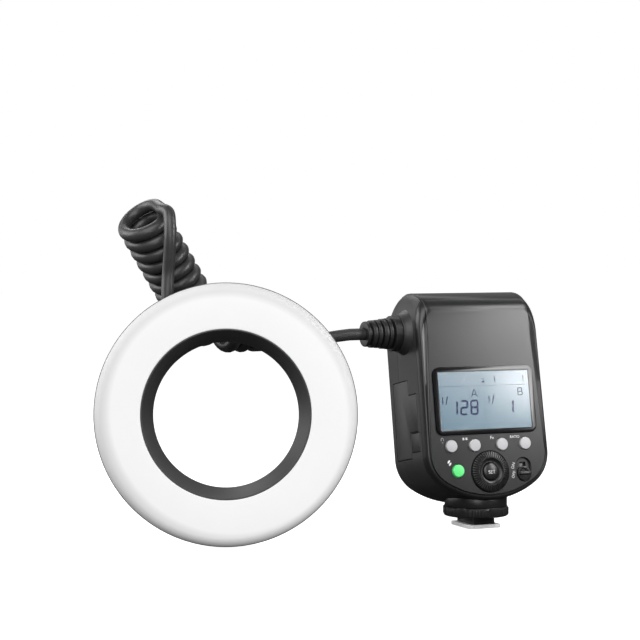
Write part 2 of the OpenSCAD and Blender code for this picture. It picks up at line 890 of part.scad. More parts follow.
module foot_neck() {
    color(black)
        difference() {
            union() {
                block(-neck_w / 2, neck_w / 2, -neck_l / 2, neck_l / 2, foot_t, wheel_z - 0.2);
                translate([0, 0, wheel_z - 0.2])
                    cylinder(d = stem_d, h = collar_z - wheel_z + 0.2);
            }
            translate([0, 0, -eps])
                cylinder(d = contact_d + 2 * key_gap, h = contact_top + contact_travel + 2 * eps);
            for (p = contact_xy)
                translate([p[0], p[1], -eps])
                    cylinder(d = small_contact_d + 2 * key_gap, h = contact_top + contact_travel + 2 * eps);
            translate([0, lock_pin_y, 0])
                cylinder(d = lock_pin_d + 2 * run_gap, h = wheel_z + eps);
            for (p = foot_screw_xy)
                translate([p[0], p[1], 0])
                    cylinder(r = 0.8, h = foot_t + 2.6);
        }
}

module foot_plate() {
    color(silver)
        difference() {
            block(-foot_w / 2, foot_w / 2, -foot_l / 2, foot_l / 2, 0, foot_t);
            block(-insulator_w / 2, insulator_w / 2, -insulator_l / 2, insulator_l / 2, -eps, foot_t + eps);
            translate([0, lock_pin_y, -eps])
                cylinder(d = lock_pin_d + 2 * key_gap, h = foot_t + 2 * eps);
            for (p = foot_screw_xy) {
                translate([p[0], p[1], -eps])
                    cylinder(r = 0.9, h = foot_t + 2 * eps);
                translate([p[0], p[1], -eps])
                    cylinder(r = 1.5, h = 0.9 + eps);
            }
        }
}

module foot_insulator() {
    color(black)
        difference() {
            block(-insulator_w / 2 + 0.1, insulator_w / 2 - 0.1,
                -insulator_l / 2 + 0.1, insulator_l / 2 - 0.1, insulator_up, foot_t);
            translate([0, 0, -eps])
                cylinder(d = contact_d + 2 * run_gap, h = foot_t + 2 * eps);
            for (p = contact_xy)
                translate([p[0], p[1], -eps])
                    cylinder(d = small_contact_d + 2 * run_gap, h = foot_t + 2 * eps);
        }
}

module contact_pins() {
    color([0.85, 0.7, 0.35]) {
        translate([0, 0, contact_rise])
            cylinder(d = contact_d, h = contact_top - contact_rise);
        for (p = contact_xy)
            translate([p[0], p[1], contact_rise])
                cylinder(d = small_contact_d, h = contact_top - contact_rise);
    }
}

module lock_pin() {
    color(silver)
        translate([0, lock_pin_y, lock_pin_rise])
            cylinder(d = lock_pin_d, h = wheel_z - 0.3 - lock_pin_rise);
}

module foot_screws() {
    color(silver)
        for (p = foot_screw_xy) {
            translate([p[0], p[1], 0.1])
                cylinder(r = 1.4, h = 0.8);
            translate([p[0], p[1], 0.9])
                cylinder(r = 0.75, h = foot_t + 1.4);
        }
}

// Ring head
module turned() {
    color($ring_color)
        ring_frame()
            rotate_extrude($fn = 128)
                children();
}

module diffuser() {
    $ring_color = white;
    edge_r = ring_r - rim_step;
    turn_r = edge_r - diffuser_edge_r;
    inner_r = diffuser_in_d / 2;
    turned()
        polygon(concat(
            [[inner_r, -diffuser_t], [inner_r, -0.4], [inner_r + 0.4, 0]],
            arc_points(turn_r, -diffuser_edge_r, diffuser_edge_r, 90, 0, 10, 0),
            [[edge_r, -rim_front], [edge_r - diffuser_t, -rim_front]],
            arc_points(turn_r, -diffuser_edge_r, diffuser_edge_r - diffuser_t, 0, 90, 8, 0)));
}

module inner_bezel() {
    $ring_color = black;
    front_r = diffuser_in_d / 2 - bezel_gap;
    turned()
        polygon([
            [front_r, -0.3], [front_r, -diffuser_t], [front_r + 2.4, -diffuser_t],
            [front_r + 2.4, -diffuser_t - bezel_t], [front_r + 0.6, -diffuser_t - bezel_t],
            [lens_r + bezel_t, -funnel_depth - 0.6], [lens_r + bezel_t, -seat_front], [lens_r, -seat_front],
            [lens_r, -funnel_depth], [front_r - 0.6, -0.3]]);
}

module reflector() {
    $ring_color = silver;
    in_r = diffuser_in_d / 2 + 3;
    low_in = tube_ring_r - 2.6;
    low_out = tube_ring_r + 2.2;
    mid_out = tube_ring_r + 4.6;
    slope = trough_wall * 1.5;
    turned()
        polygon([
            [in_r, -4.6], [low_in, -trough_depth], [low_out, -trough_depth], [mid_out, -7.4],
            [lip_in_r - 0.3, lip_z], [lip_in_r + 1, lip_z], [lip_in_r + 1, lip_z + trough_wall],
            [lip_in_r - 0.6, lip_z + trough_wall], [mid_out - 0.3, -7.4 + slope],
            [low_out - slope / 2, -trough_depth + trough_wall],
            [low_in + slope / 2, -trough_depth + trough_wall], [in_r + slope, -4.6]]);
}

module tube(a0) {
    color([0.85, 0.92, 0.95])
        ring_frame()
            rotate([0, 0, a0])
                rotate_extrude(angle = tube_span, $fn = 128)
                    translate([tube_ring_r, tube_z])
                        circle(d = tube_d, $fn = 32);
}

module flash_tube_a() {
    tube(90 + (180 - tube_span) / 2);
}

module flash_tube_b() {
    tube(270 + (180 - tube_span) / 2);
}

module tube_holders() {
    floor_z = -trough_depth + trough_wall;
    margin = (180 - tube_span) / 2;
    color(white)
        ring_frame()
            for (a = [90 - margin - holder_span, 90 + margin, 270 - margin - holder_span, 270 + margin])
                rotate([0, 0, a])
                    rotate_extrude(angle = holder_span, $fn = 128)
                        difference() {
                            translate([tube_ring_r - 1.9, floor_z])
                                square([3.4, tube_z - floor_z]);
                            translate([tube_ring_r, tube_z])
                                circle(d = tube_d + 2 * run_gap, $fn = 32);
                        }
}

module trigger_board() {
    color(board_green)
        ring_frame() {
            translate([0, 0, -trigger_depth - board_t])
                difference() {
                    cylinder(r = housing_r - housing_wall - 2, h = board_t);
                    translate([0, 0, -eps])
                        cylinder(r = seat_r + seat_wall + 0.6, h = board_t + 2 * eps);
                }
            for (a = [75, 285])
                rotate([0, 0, a])
                    translate([post_ring_r, 0, -trigger_depth - board_t - 5])
                        cylinder(r = 3, h = 5);
        }
}

module housing_profile() {
    wall_r = housing_r - housing_wall;
    plate_z = -ring_depth + housing_wall;
    shelf_z = -flange_depth + flange_t;
    polygon([
        [ring_r, -rim_front], [ring_r, -flange_depth], [housing_r + 1.6, -flange_depth],
        [housing_r, -flange_depth - 1.6], [housing_r, -ring_depth + 1.5], [housing_r - 1.5, -ring_depth],
        [seat_r, -ring_depth], [seat_r, -seat_front], [lens_r + bezel_t + 0.3, -seat_front],
        [lens_r + bezel_t + 0.3, -seat_front + shoulder_t], [seat_r + seat_wall, -seat_front + shoulder_t],
        [seat_r + seat_wall, plate_z], [wall_r, plate_z], [wall_r, shelf_z - 1.6], [wall_r + 2.4, shelf_z],
        [lip_in_r, shelf_z], [lip_in_r, lip_z], [lip_out_r, lip_z], [lip_out_r, -rim_front]]);
}

module release_shape(grow, r0, r1) {
    block(r0, r1, -release_w / 2 - grow, release_w / 2 + grow, release_z - release_h / 2 - grow,
        release_z + release_h / 2 + grow);
}

module ring_housing() {
    color(black)
        ring_frame()
            difference() {
                union() {
                    rotate_extrude($fn = 128)
                        housing_profile();
                    for (a = post_angles)
                        rotate([0, 0, a])
                            translate([post_ring_r, 0, -ring_depth + 1])
                                cylinder(r = post_r, h = ring_depth - 1 - trigger_depth - board_t);
                }
                for (a = post_angles)
                    rotate([0, 0, a])
                        translate([post_ring_r, 0, -ring_depth - eps]) {
                            cylinder(r = 1.2, h = ring_depth - trigger_depth - board_t - 1);
                            cylinder(r = 2, h = 1.4 + eps);
                        }
                for (a = [0, 180])
                    rotate([0, 0, a])
                        release_shape(key_gap, housing_r - 6, housing_r + eps);
                translate([tail_x, housing_r - 16, tail_z])
                    rotate([-90, 0, 0])
                        cylinder(r = 3.2, h = ring_r);
            }
}

module release_button(a) {
    color(black)
        ring_frame()
            rotate([0, 0, a]) {
                release_shape(0, housing_r - housing_wall - 1.1, housing_r + release_proud);
                block(housing_r - housing_wall - 2.2, housing_r - housing_wall - 1.1, -release_w / 2 - 1.2,
                    release_w / 2 + 1.2, release_z - release_h / 2, release_z + release_h / 2);
            }
}

module release_button_left() {
    release_button(180);
}

module release_button_right() {
    release_button(0);
}

module ring_boot() {
    color(rubber_grey)
        ring_frame()
            translate([tail_x, 0, tail_z])
                rotate([-90, 0, 0]) {
                    translate([0, 0, ring_boot_base - 2.4])
                        cylinder(r = 3.1, h = 5);
                    difference() {
                        translate([0, 0, ring_boot_base - 4])
                            cylinder(r1 = 4.6, r2 = 4.2, h = ring_boot_top - ring_boot_base + 4);
                        translate([-tail_x, -tail_z, 0])
                            rotate([90, 0, 0])
                                translate([0, 0, -ring_r])
                                    cylinder(r = housing_r + 0.1, h = 2 * ring_r, $fn = 128);
                    }
                }
}

module ring_screws() {
    color(silver)
        ring_frame()
            for (a = post_angles)
                rotate([0, 0, a])
                    translate([post_ring_r, 0, -ring_depth]) {
                        translate([0, 0, 0.3])
                            cylinder(r = 1.9, h = 1.1);
                        translate([0, 0, 1.4])
                            cylinder(r = 1.15, h = ring_depth - trigger_depth - board_t - 4);
                    }
}

// Cord: tubes swept along points, with a frame carried from ring to ring
function unit(v) = v / norm(v);

function tangents(p) =
    [for (i = [0:len(p) - 1]) unit(p[min(i + 1, len(p) - 1)] - p[max(i - 1, 0)])];

function carried(normal, tangent) = unit(normal - (normal * tangent) * tangent);

function normals(t, i, last) =
    i == len(t) ? []
    : let (n = carried(last, t[i])) concat([n], normals(t, i + 1, n));

module swept(p, d, sides) {
    t = tangents(p);
    first = abs(t[0][2]) < 0.9 ? [0, 0, 1] : [1, 0, 0];
    n = normals(t, 0, first);
    rings = len(p);
    points = [for (i = [0:rings - 1], k = [0:sides - 1])
        let (b = cross(t[i], n[i]), a = k * 360 / sides)
        p[i] + d / 2 * (cos(a) * n[i] + sin(a) * b)];
    walls = [for (i = [0:rings - 2], k = [0:sides - 1], half = [0, 1])
        let (a = i * sides + k, b = i * sides + (k + 1) % sides)
        half == 0 ? [a, a + sides, b] : [b, a + sides, b + sides]];
    last = (rings - 1) * sides;
    lids = [for (k = [1:sides - 2], end = [0, 1])
        end == 0 ? [0, k, k + 1] : [last, last + k + 1, last + k]];
    polyhedron(points, concat(walls, lids));
}

// A smooth curve through hand-picked points
function spline_point(p, i, t) =
    let (
        a = p[max(i - 1, 0)],
        b = p[i],
        c = p[i + 1],
        d = p[min(i + 2, len(p) - 1)]
    )
    0.5 * (2 * b + (c - a) * t + (2 * a - 5 * b + 4 * c - d) * t * t + (3 * b - a - 3 * c + d) * t * t * t);

function spline(p, steps) =
    concat([for (i = [0:len(p) - 2], k = [0:steps - 1]) spline_point(p, i, k / steps)], [p[len(p) - 1]]);

// The curls' axis: straight, a bend in one plane, and straight again to the open end
end_dir = unit(curl_end_dir);
bend_angle = acos(end_dir * curl_start_dir);
bend_axis = unit(cross(curl_start_dir, end_dir));
bend_in = cross(bend_axis, curl_start_dir);
bend_length = curl_bend_r * bend_angle * PI / 180;
bend_end = curl_end - end_length * end_dir;
bend_start = bend_end - curl_bend_r * tan(bend_angle / 2) * (end_dir + curl_start_dir);
axis_length = start_length + bend_length + end_length;
curl_turns = start_turns + bend_turns + end_turns;

// Angle of the bend reached at a length along the axis
function bend_at(s) = min(max(s - start_length, 0), bend_length) * 180 / PI / curl_bend_r;

function axis_dir(s) = cos(bend_at(s)) * curl_start_dir + sin(bend_at(s)) * bend_in;

function axis_point(s) =
    bend_start
    + min(s - start_length, 0) * curl_start_dir
    + curl_bend_r * (sin(bend_at(s)) * curl_start_dir + (1 - cos(bend_at(s))) * bend_in)
    + max(s - start_length - bend_length, 0) * end_dir;

// Length along the axis at a count of turns from the start
function turn_length(turns) =
    turns < start_turns ? turns / start_turns * start_length
    : turns < start_turns + bend_turns ? start_length + (turns - start_turns) / bend_turns * bend_length
    : start_length + bend_length + (turns - start_turns - bend_turns) / end_turns * end_length;

function curl_point(turns) =
    let (
        s = turn_length(turns),
        angle = (curl_turns - turns) * 360,
        n = cross(bend_axis, axis_dir(s))
    )
    axis_point(s) + curl_r * (cos(angle) * n + sin(angle) * bend_axis);

curl_steps = round(curl_turns * rings_per_turn);
helix = [for (i = [0:curl_steps]) curl_point(i * curl_turns / curl_steps)];
fine_step = 0.002;
start_dir = unit(curl_point(fine_step) - curl_point(0));
finish_dir = unit(curl_point(curl_turns) - curl_point(curl_turns - fine_step));
curls = concat([helix[0] - cord_d * start_dir], helix, [helix[curl_steps] + cord_d * finish_dir]);
lead = concat(
    [boot_tip],
    spline(concat(lead_points, [curls[0] - cord_d * start_dir, curls[0]]), 2));
tail_start = curls[len(curls) - 1];
tail = concat(
    [tail_start],
    spline(concat([tail_start + cord_d / 2 * finish_dir], [for (p = tail_points) from_ring(p)]), 2),
    [from_ring([tail_x, ring_boot_top, tail_z])]);

// Least distance between turns that are not neighbours on the cord, less the cord itself
last_curl = len(curls) - 1;
self_gap = min([for (i = [0:last_curl], j = [i + 5:1:last_curl]) norm(curls[i] - curls[j])]) - cord_d;
tail_gap = min([for (k = [3:len(tail) - 1], i = [0:last_curl - 5]) norm(tail[k] - curls[i])]) - cord_d;
echo(least_gap_between_curls = self_gap, least_gap_from_tail_to_curls = tail_gap);

module cord_lead() {
    color(rubber_grey)
        swept(lead, cord_d, lead_sides);
}

module cord_curls() {
    color(rubber_grey)
        swept(curls, cord_d, curl_sides);
}

module cord_tail() {
    color(rubber_grey)
        swept(tail, cord_d, lead_sides);
}

face_cover();
main_shell();
rear_cover();
lcd_bezel();
lcd_window();
lcd_panel();
lcd_backlight();
function_button_1();
function_button_2();
function_button_3();
function_button_4();
test_button();
select_dial();
dial_encoder();
set_button();
power_switch();
switch_body();
main_board();
key_switches();
main_capacitor();
battery_pack();
battery_latch();
battery_terminal();
cable_boot();
body_screws();
shoe_collar();
lock_wheel();
foot_neck();
foot_plate();
foot_insulator();
contact_pins();
lock_pin();
foot_screws();
diffuser();
inner_bezel();
reflector();
flash_tube_a();
flash_tube_b();
tube_holders();
trigger_board();
ring_housing();
release_button_left();
release_button_right();
ring_boot();
ring_screws();
cord_lead();
cord_curls();
cord_tail();
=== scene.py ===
import math

import bpy
import bmesh
import numpy as np
from mathutils import Matrix, Vector


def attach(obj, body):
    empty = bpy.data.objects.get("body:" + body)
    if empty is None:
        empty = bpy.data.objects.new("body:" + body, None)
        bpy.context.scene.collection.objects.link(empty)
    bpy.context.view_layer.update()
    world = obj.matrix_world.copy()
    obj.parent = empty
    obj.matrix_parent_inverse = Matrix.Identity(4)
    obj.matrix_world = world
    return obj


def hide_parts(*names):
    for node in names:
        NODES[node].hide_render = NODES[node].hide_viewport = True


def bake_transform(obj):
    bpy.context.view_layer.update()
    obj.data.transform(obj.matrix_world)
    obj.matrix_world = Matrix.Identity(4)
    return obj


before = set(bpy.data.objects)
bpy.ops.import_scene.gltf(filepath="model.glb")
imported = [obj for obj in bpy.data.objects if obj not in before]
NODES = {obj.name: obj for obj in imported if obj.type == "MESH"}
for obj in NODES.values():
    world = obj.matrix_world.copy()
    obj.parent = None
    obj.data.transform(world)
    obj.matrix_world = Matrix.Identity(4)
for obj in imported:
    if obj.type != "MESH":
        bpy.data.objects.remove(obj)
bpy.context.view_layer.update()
scene = bpy.context.scene
MM = 0.001
sin, cos, pi, sqrt = math.sin, math.cos, math.pi, math.sqrt

# Frames, in millimetres: the panel leans back with the display, the ring stands with the ring head.
LEAN, FRONT = math.radians(10.4), 22.7
YAW, TILT = math.radians(20.3), math.radians(5.1)
RIM_R, RIM_BACK = 67.3, 9.8
RING = (-152.6, -21.0, RIM_R * cos(TILT) + RIM_BACK * sin(TILT))
GLAND_Y, GLAND_V, BOOT_END = 19, 110.3, 59.8


def panel(x, y, v):
    return (x, -FRONT + y * cos(LEAN) + v * sin(LEAN), v * cos(LEAN) - y * sin(LEAN))


def ringp(a, b, c):
    y = b * sin(TILT) - c * cos(TILT)
    z = b * cos(TILT) + c * sin(TILT)
    return (RING[0] + a * cos(YAW) + y * sin(YAW), RING[1] - a * sin(YAW) + y * cos(YAW), RING[2] + z)


def plain(x, y, z):
    return (x, y, z)


def unit(v):
    return v / np.linalg.norm(v)


def add(name, data):
    obj = bpy.data.objects.new(name, data)
    scene.collection.objects.link(obj)
    return obj


# Camera at the photograph's viewing angle
cam_data = bpy.data.cameras.new("camera")
cam = add("camera", cam_data)
cam_right = Vector((0.92153, -0.38831, 0.0))
cam_up = Vector((0.01701, 0.04036, 0.99904))
cam_forward = Vector((0.38794, 0.92065, -0.04380))
cam.matrix_world = (Matrix.Translation(Vector((-520.58, -1016.83, 162.28)) * MM)
                    @ Matrix((cam_right, cam_up, -cam_forward)).transposed().to_4x4())
cam_data.sensor_width = 36
cam_data.lens = 118.125
scene.camera = cam
scene.view_settings.view_transform = "Standard"

# Materials
PATCH_SCALE, PATCH_GLOSS = 55, 0.04
BRUSH_SCALE = 300


def shader_of(m):
    return m.node_tree.nodes["Principled BSDF"]


def new_material(name):
    m = bpy.data.materials.new(name)
    m.use_nodes = True
    return m, m.node_tree, shader_of(m)


def set_inputs(n, **values):
    for key, value in values.items():
        n.inputs[key.replace("_", " ")].default_value = value


def node(nt, kind, **values):
    n = nt.nodes.new(kind)
    set_inputs(n, **values)
    return n


def coords(nt, scale=(1, 1, 1)):
    tc = nt.nodes.new("ShaderNodeTexCoord")
    mp = node(nt, "ShaderNodeMapping", Scale=scale)
    nt.links.new(tc.outputs["Object"], mp.inputs["Vector"])
    return mp.outputs["Vector"]


def ramp(nt, fac, stops):
    r = nt.nodes.new("ShaderNodeValToRGB")
    el = r.color_ramp.elements
    while len(el) < len(stops):
        el.new(0.5)
    for e, (p, c) in zip(el, stops):
        e.position = p
        e.color = (*c, 1)
    nt.links.new(fac, r.inputs["Fac"])
    return r.outputs["Color"]


def rough_range(nt, b, fac, low, high):
    mr = node(nt, "ShaderNodeMapRange", To_Min=low, To_Max=high)
    nt.links.new(fac, mr.inputs["Value"])
    nt.links.new(mr.outputs["Result"], b.inputs["Roughness"])


def shade(c, k):
    return tuple(min(1, x * k) for x in c)


def even(k):
    return (k, k, k)


def moulded(name, color, rough, grain, depth, mottle=0.1, spec=0.5, coat=0.0):
    """A moulded or rubbed surface: fine grain in the bump, slow patches in colour and gloss."""
    m, nt, b = new_material(name)
    vec = coords(nt)
    slow = node(nt, "ShaderNodeTexNoise", Scale=PATCH_SCALE, Detail=3)
    fine = node(nt, "ShaderNodeTexNoise", Scale=grain, Detail=2)
    for n in (slow, fine):
        nt.links.new(vec, n.inputs["Vector"])
    patches = [(0.3, shade(color, 1 - mottle)), (0.7, shade(color, 1 + mottle))]
    nt.links.new(ramp(nt, slow.outputs["Fac"], patches), b.inputs["Base Color"])
    rough_range(nt, b, slow.outputs["Fac"], rough - PATCH_GLOSS, rough + PATCH_GLOSS)
    bump = node(nt, "ShaderNodeBump", Strength=0.6, Distance=depth)
    nt.links.new(fine.outputs["Fac"], bump.inputs["Height"])
    nt.links.new(bump.outputs["Normal"], b.inputs["Normal"])
    set_inputs(b, Specular_IOR_Level=spec, Coat_Weight=coat)
    return m


def metal(name, color, rough, stretch=(1, 40, 1), metallic=1.0):
    """A metal surface with fine streaks in colour and gloss."""
    m, nt, b = new_material(name)
    n = node(nt, "ShaderNodeTexNoise", Scale=BRUSH_SCALE, Detail=3)
    nt.links.new(coords(nt, stretch), n.inputs["Vector"])
    streaks = [(0.3, shade(color, 0.93)), (0.7, shade(color, 1.05))]
    nt.links.new(ramp(nt, n.outputs["Fac"], streaks), b.inputs["Base Color"])
    rough_range(nt, b, n.outputs["Fac"], rough - 0.06, rough + 0.08)
    set_inputs(b, Metallic=metallic)
    return m


def clear_glass(name, tint, rough):
    m, nt, b = new_material(name)
    set_inputs(b, Transmission_Weight=1.0, IOR=1.35)
    n = node(nt, "ShaderNodeTexNoise", Scale=120, Detail=2)
    nt.links.new(coords(nt), n.inputs["Vector"])
    tints = [(0.2, tint), (0.8, shade(tint, 1.02))]
    nt.links.new(ramp(nt, n.outputs["Fac"], tints), b.inputs["Base Color"])
    rough_range(nt, b, n.outputs["Fac"], rough, rough + 0.02)
    return m


def screen_material():
    """The lit display: pale at the top, bluer lower down, with a painted highlight whitening its upper
    right.
    """
    m, nt, b = new_material("screen_blue")
    tc = nt.nodes.new("ShaderNodeTexCoord")
    sp = nt.nodes.new("ShaderNodeSeparateXYZ")
    nt.links.new(tc.outputs["Generated"], sp.inputs["Vector"])
    blues = [(0.0, (0.2, 0.42, 0.58)), (0.3, (0.27, 0.5, 0.66)), (0.7, (0.4, 0.61, 0.77)),
             (1.0, (0.52, 0.7, 0.84))]
    up = ramp(nt, sp.outputs["Z"], blues)
    # Painted highlight: the upper right is mixed towards near white, brighter than the backlight
    across = ramp(nt, sp.outputs["X"], [(0.0, even(0.0)), (0.5, even(0.04)), (1.0, even(0.8))])
    rise = ramp(nt, sp.outputs["Z"], [(0.1, even(0.1)), (0.8, even(1))])
    corner = node(nt, "ShaderNodeMath")
    corner.operation = "MULTIPLY"
    nt.links.new(across, corner.inputs[0])
    nt.links.new(rise, corner.inputs[1])
    mix = nt.nodes.new("ShaderNodeMix")
    mix.data_type = "RGBA"
    nt.links.new(corner.outputs["Value"], mix.inputs["Factor"])
    nt.links.new(up, mix.inputs["A"])
    mix.inputs["B"].default_value = (1.8, 1.95, 2.05, 1)
    nt.links.new(mix.outputs["Result"], b.inputs["Emission Color"])
    set_inputs(b, Base_Color=(0.02, 0.025, 0.03, 1), Emission_Strength=0.39, Roughness=0.4)
    return m


M = {
    "body": moulded("charcoal_plastic", (0.014, 0.014, 0.0148), 0.31, 2800, 0.000012),
    "side": moulded("charcoal_side", (0.03, 0.03, 0.031), 0.46, 2600, 0.000015),
    "gloss": moulded("gloss_black", (0.006, 0.006, 0.007), 0.18, 900, 0.000003, 0.05, 0.4, 0.1),
    "grey": moulded("key_grey", (0.47, 0.47, 0.482), 0.5, 2600, 0.00002, 0.03),
    "green": moulded("key_green", (0.12, 0.7, 0.2), 0.35, 1800, 0.00001, 0.06),
    "black": moulded("black_plastic", (0.012, 0.012, 0.0125), 0.34, 2600, 0.000012),
    "ring": moulded("ring_black", (0.03, 0.03, 0.031), 0.38, 2600, 0.00002),
    # Dark plastic with its base lifted as painted light, standing in for light bounced up from the floor
    "cone": moulded("cone_black", (0.042, 0.042, 0.043), 0.52, 2600, 0.00001),
    "rubber": moulded("boot_rubber", (0.016, 0.016, 0.0164), 0.36, 1600, 0.00002),
    "cord": moulded("cord_rubber", (0.032, 0.032, 0.0326), 0.4, 1500, 0.00002, 0.12),
    "white": moulded("opal_white_painted_glow", (0.48, 0.48, 0.48), 0.5, 1400, 0.00001, 0.015, 0.08),
    "holder": moulded("holder_white", (0.8, 0.8, 0.78), 0.5, 1400, 0.00002, 0.03),
    "board": moulded("board_green", (0.02, 0.11, 0.04), 0.35, 700, 0.00003, 0.3),
    "sleeve": moulded("capacitor_sleeve", (0.012, 0.013, 0.03), 0.3, 900, 0.00001),
    "mark": moulded("mark_white", (0.75, 0.75, 0.75), 0.6, 1400, 0.00001, 0.04),
    "mark_dim": moulded("mark_grey", (0.3, 0.3, 0.31), 0.6, 1400, 0.00001, 0.04),
    "ink": moulded("display_ink", (0.002, 0.01, 0.075), 0.5, 900, 0.00001, 0.05, 0.05),
    "ink_pale": moulded("display_ink_pale", (0.008, 0.02, 0.055), 0.5, 900, 0.00001, 0.05, 0.05),
    "ink_faint": moulded("display_ink_faint", (0.06, 0.1, 0.13), 0.5, 900, 0.00001, 0.05, 0.05),
    "steel": metal("bright_steel", (0.95, 0.95, 0.95), 0.28, (1, 40, 1), 0.1),
    "screw": metal("screw_steel", (0.6, 0.6, 0.62), 0.3),
    "brass": metal("contact_brass", (0.85, 0.64, 0.25), 0.22),
    "mirror": metal("reflector_bright", (0.9, 0.9, 0.92), 0.12, (1, 1, 1)),
    "glass": clear_glass("tube_glass", (0.95, 0.98, 1.0), 0.02),
    "window": clear_glass("window_glass", (0.97, 0.99, 1.0), 0.0),
    "screen": screen_material(),
}
set_inputs(shader_of(M["green"]), Emission_Color=(0.1, 0.9, 0.25, 1), Emission_Strength=0.15)
set_inputs(shader_of(M["window"]), IOR=1.03, Coat_Weight=1.0, Coat_IOR=1.35, Coat_Roughness=0.27)


def paint_opal_glow():
    """The diffuser: a painted glow in its emission, with painted shade greying the roll at its outer edge.
    """
    nt, b = M["white"].node_tree, shader_of(M["white"])
    tc = nt.nodes.new("ShaderNodeTexCoord")
    middle = node(nt, "ShaderNodeMapping", Location=(-1, 0, -1), Scale=(2, 0, 2))
    nt.links.new(tc.outputs["Generated"], middle.inputs["Vector"])
    out = nt.nodes.new("ShaderNodeVectorMath")
    out.operation = "LENGTH"
    nt.links.new(middle.outputs["Vector"], out.inputs[0])
    # Painted glow, fading over the outer roll as painted shade where the roll turns away
    light = ramp(nt, out.outputs["Value"], [(0.89, even(1)), (0.93, even(0.7)), (1.0, even(0.3))])
    nt.links.new(light, b.inputs["Emission Color"])
    set_inputs(b, Emission_Strength=0.45)


paint_opal_glow()

# Mesh helpers: points come in millimetres of a frame and are stored in metres of the part's frame
SMOOTH_ANGLE, FLAT_ANGLE, EDGE_ANGLE = math.radians(32), math.radians(0.4), math.radians(40)
WELD_GAP = 1e-6


def smooth_group():
    g = bpy.data.node_groups.new("smooth_by_angle", "GeometryNodeTree")
    g.interface.new_socket("Geometry", in_out="INPUT", socket_type="NodeSocketGeometry")
    g.interface.new_socket("Geometry", in_out="OUTPUT", socket_type="NodeSocketGeometry")
    first, last = g.nodes.new("NodeGroupInput"), g.nodes.new("NodeGroupOutput")
    drop = g.nodes.new("GeometryNodeRemoveAttribute")
    drop.inputs["Name"].default_value = "custom_normal"
    face, edge = g.nodes.new("GeometryNodeSetShadeSmooth"), g.nodes.new("GeometryNodeSetShadeSmooth")
    face.domain, edge.domain = "FACE", "EDGE"
    edge.inputs["Shade Smooth"].default_value = False
    angle = g.nodes.new("GeometryNodeInputMeshEdgeAngle")
    test = g.nodes.new("FunctionNodeCompare")
    test.data_type, test.operation = "FLOAT", "GREATER_THAN"
    test.inputs["B"].default_value = SMOOTH_ANGLE
    g.links.new(first.outputs[0], drop.inputs["Geometry"])
    g.links.new(drop.outputs["Geometry"], face.inputs["Geometry"])
    g.links.new(face.outputs["Geometry"], edge.inputs["Geometry"])
    g.links.new(angle.outputs["Unsigned Angle"], test.inputs["A"])
    g.links.new(test.outputs["Result"], edge.inputs["Selection"])
    g.links.new(edge.outputs["Geometry"], last.inputs[0])
    return g


SMOOTH = smooth_group()


def smoothed(obj):
    obj.modifiers.new("smooth", "NODES").node_group = SMOOTH
    return obj


def evaluated_mesh(obj):
    bpy.context.view_layer.update()
    return bpy.data.meshes.new_from_object(obj.evaluated_get(bpy.context.evaluated_depsgraph_get()))


def raw(name, verts, faces, where=plain):
    me = bpy.data.meshes.new(name)
    me.from_pydata([Vector(where(*p)) * MM for p in verts], [], faces)
    bm = bmesh.new()
    bm.from_mesh(me)
    bmesh.ops.recalc_face_normals(bm, faces=bm.faces)
    bm.to_mesh(me)
    bm.free()
    return add(name, me)


def paint(obj, material):
    obj.data.materials.clear()
    obj.data.materials.append(M[material])


def piece(obj, material, body, slot, *replaces):
    paint(obj, material)
    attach(obj, body)
    if replaces:
        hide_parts(*replaces)


def dress(name, material, bevel, segments):
    """A CAD node kept as it is, with its edges broken and a finish of its own."""
    obj = NODES[name]
    paint(obj, material)
    obj.modifiers.new("weld", "WELD").merge_threshold = WELD_GAP
    if bevel:
        d = obj.modifiers.new("planes", "DECIMATE")
        d.decimate_type, d.angle_limit = "DISSOLVE", FLAT_ANGLE
        b = obj.modifiers.new("edges", "BEVEL")
        b.width, b.segments, b.limit_method = bevel * MM, segments, "ANGLE"
        b.angle_limit, b.use_clamp_overlap = EDGE_ANGLE, True
    smoothed(obj)


def skin(rings, closed=False):
    """Faces over rings of points: an open row is capped at both ends, a closed row runs round."""
    n, rows = len(rings[0]), len(rings)
    verts = [p for r in rings for p in r]
    faces = [(i * n + k, i * n + (k + 1) % n, (i + 1) % rows * n + (k + 1) % n, (i + 1) % rows * n + k)
             for i in range(rows if closed else rows - 1) for k in range(n)]
    if not closed:
        faces += [tuple(range(n)), tuple((rows - 1) * n + k for k in range(n))]
    return verts, faces


def soften(profile, radius, steps=4):
    """A closed profile with each corner rounded by up to the radius."""
    out = []
    n = len(profile)
    for i in range(n):
        p, a, b = (np.array(profile[j % n], float) for j in (i, i - 1, i + 1))
        u, w = a - p, b - p
        lu, lw = np.linalg.norm(u), np.linalg.norm(w)
        t = min(radius, 0.45 * lu, 0.45 * lw)
        s, e = p + u / lu * t, p + w / lw * t
        for k in range(steps + 1):
            q = k / steps
            out.append(tuple((1 - q) ** 2 * s + 2 * q * (1 - q) * p + q * q * e))
    return out


def lathe(name, profile, where, segments, radius):
    """A closed profile of (radius, height) turned about the frame's third axis."""
    prof = soften(profile, radius) if radius else profile
    rings = [[(r * cos(t), r * sin(t), z) for r, z in prof]
             for t in (2 * pi * i / segments for i in range(segments))]
    return raw(name, *skin(rings, closed=True), where)


def loft(name, rows, closed=False):
    """Outlines in the panel's plane, each at a depth of its own, joined from one to the next."""
    return raw(name, *skin([[(x, y, v) for x, v in line] for line, y in rows], closed), panel)


def prism(name, points, y0, y1):
    """An outline in the panel's plane, carried from one depth to another."""
    return loft(name, [(points, y0), (points, y1)])


def column(points, z0, z1, where=plain):
    """A cutter along a frame's third axis."""
    return raw("cut", *skin([[(x, y, z) for x, y in points] for z in (z0, z1)]), where)


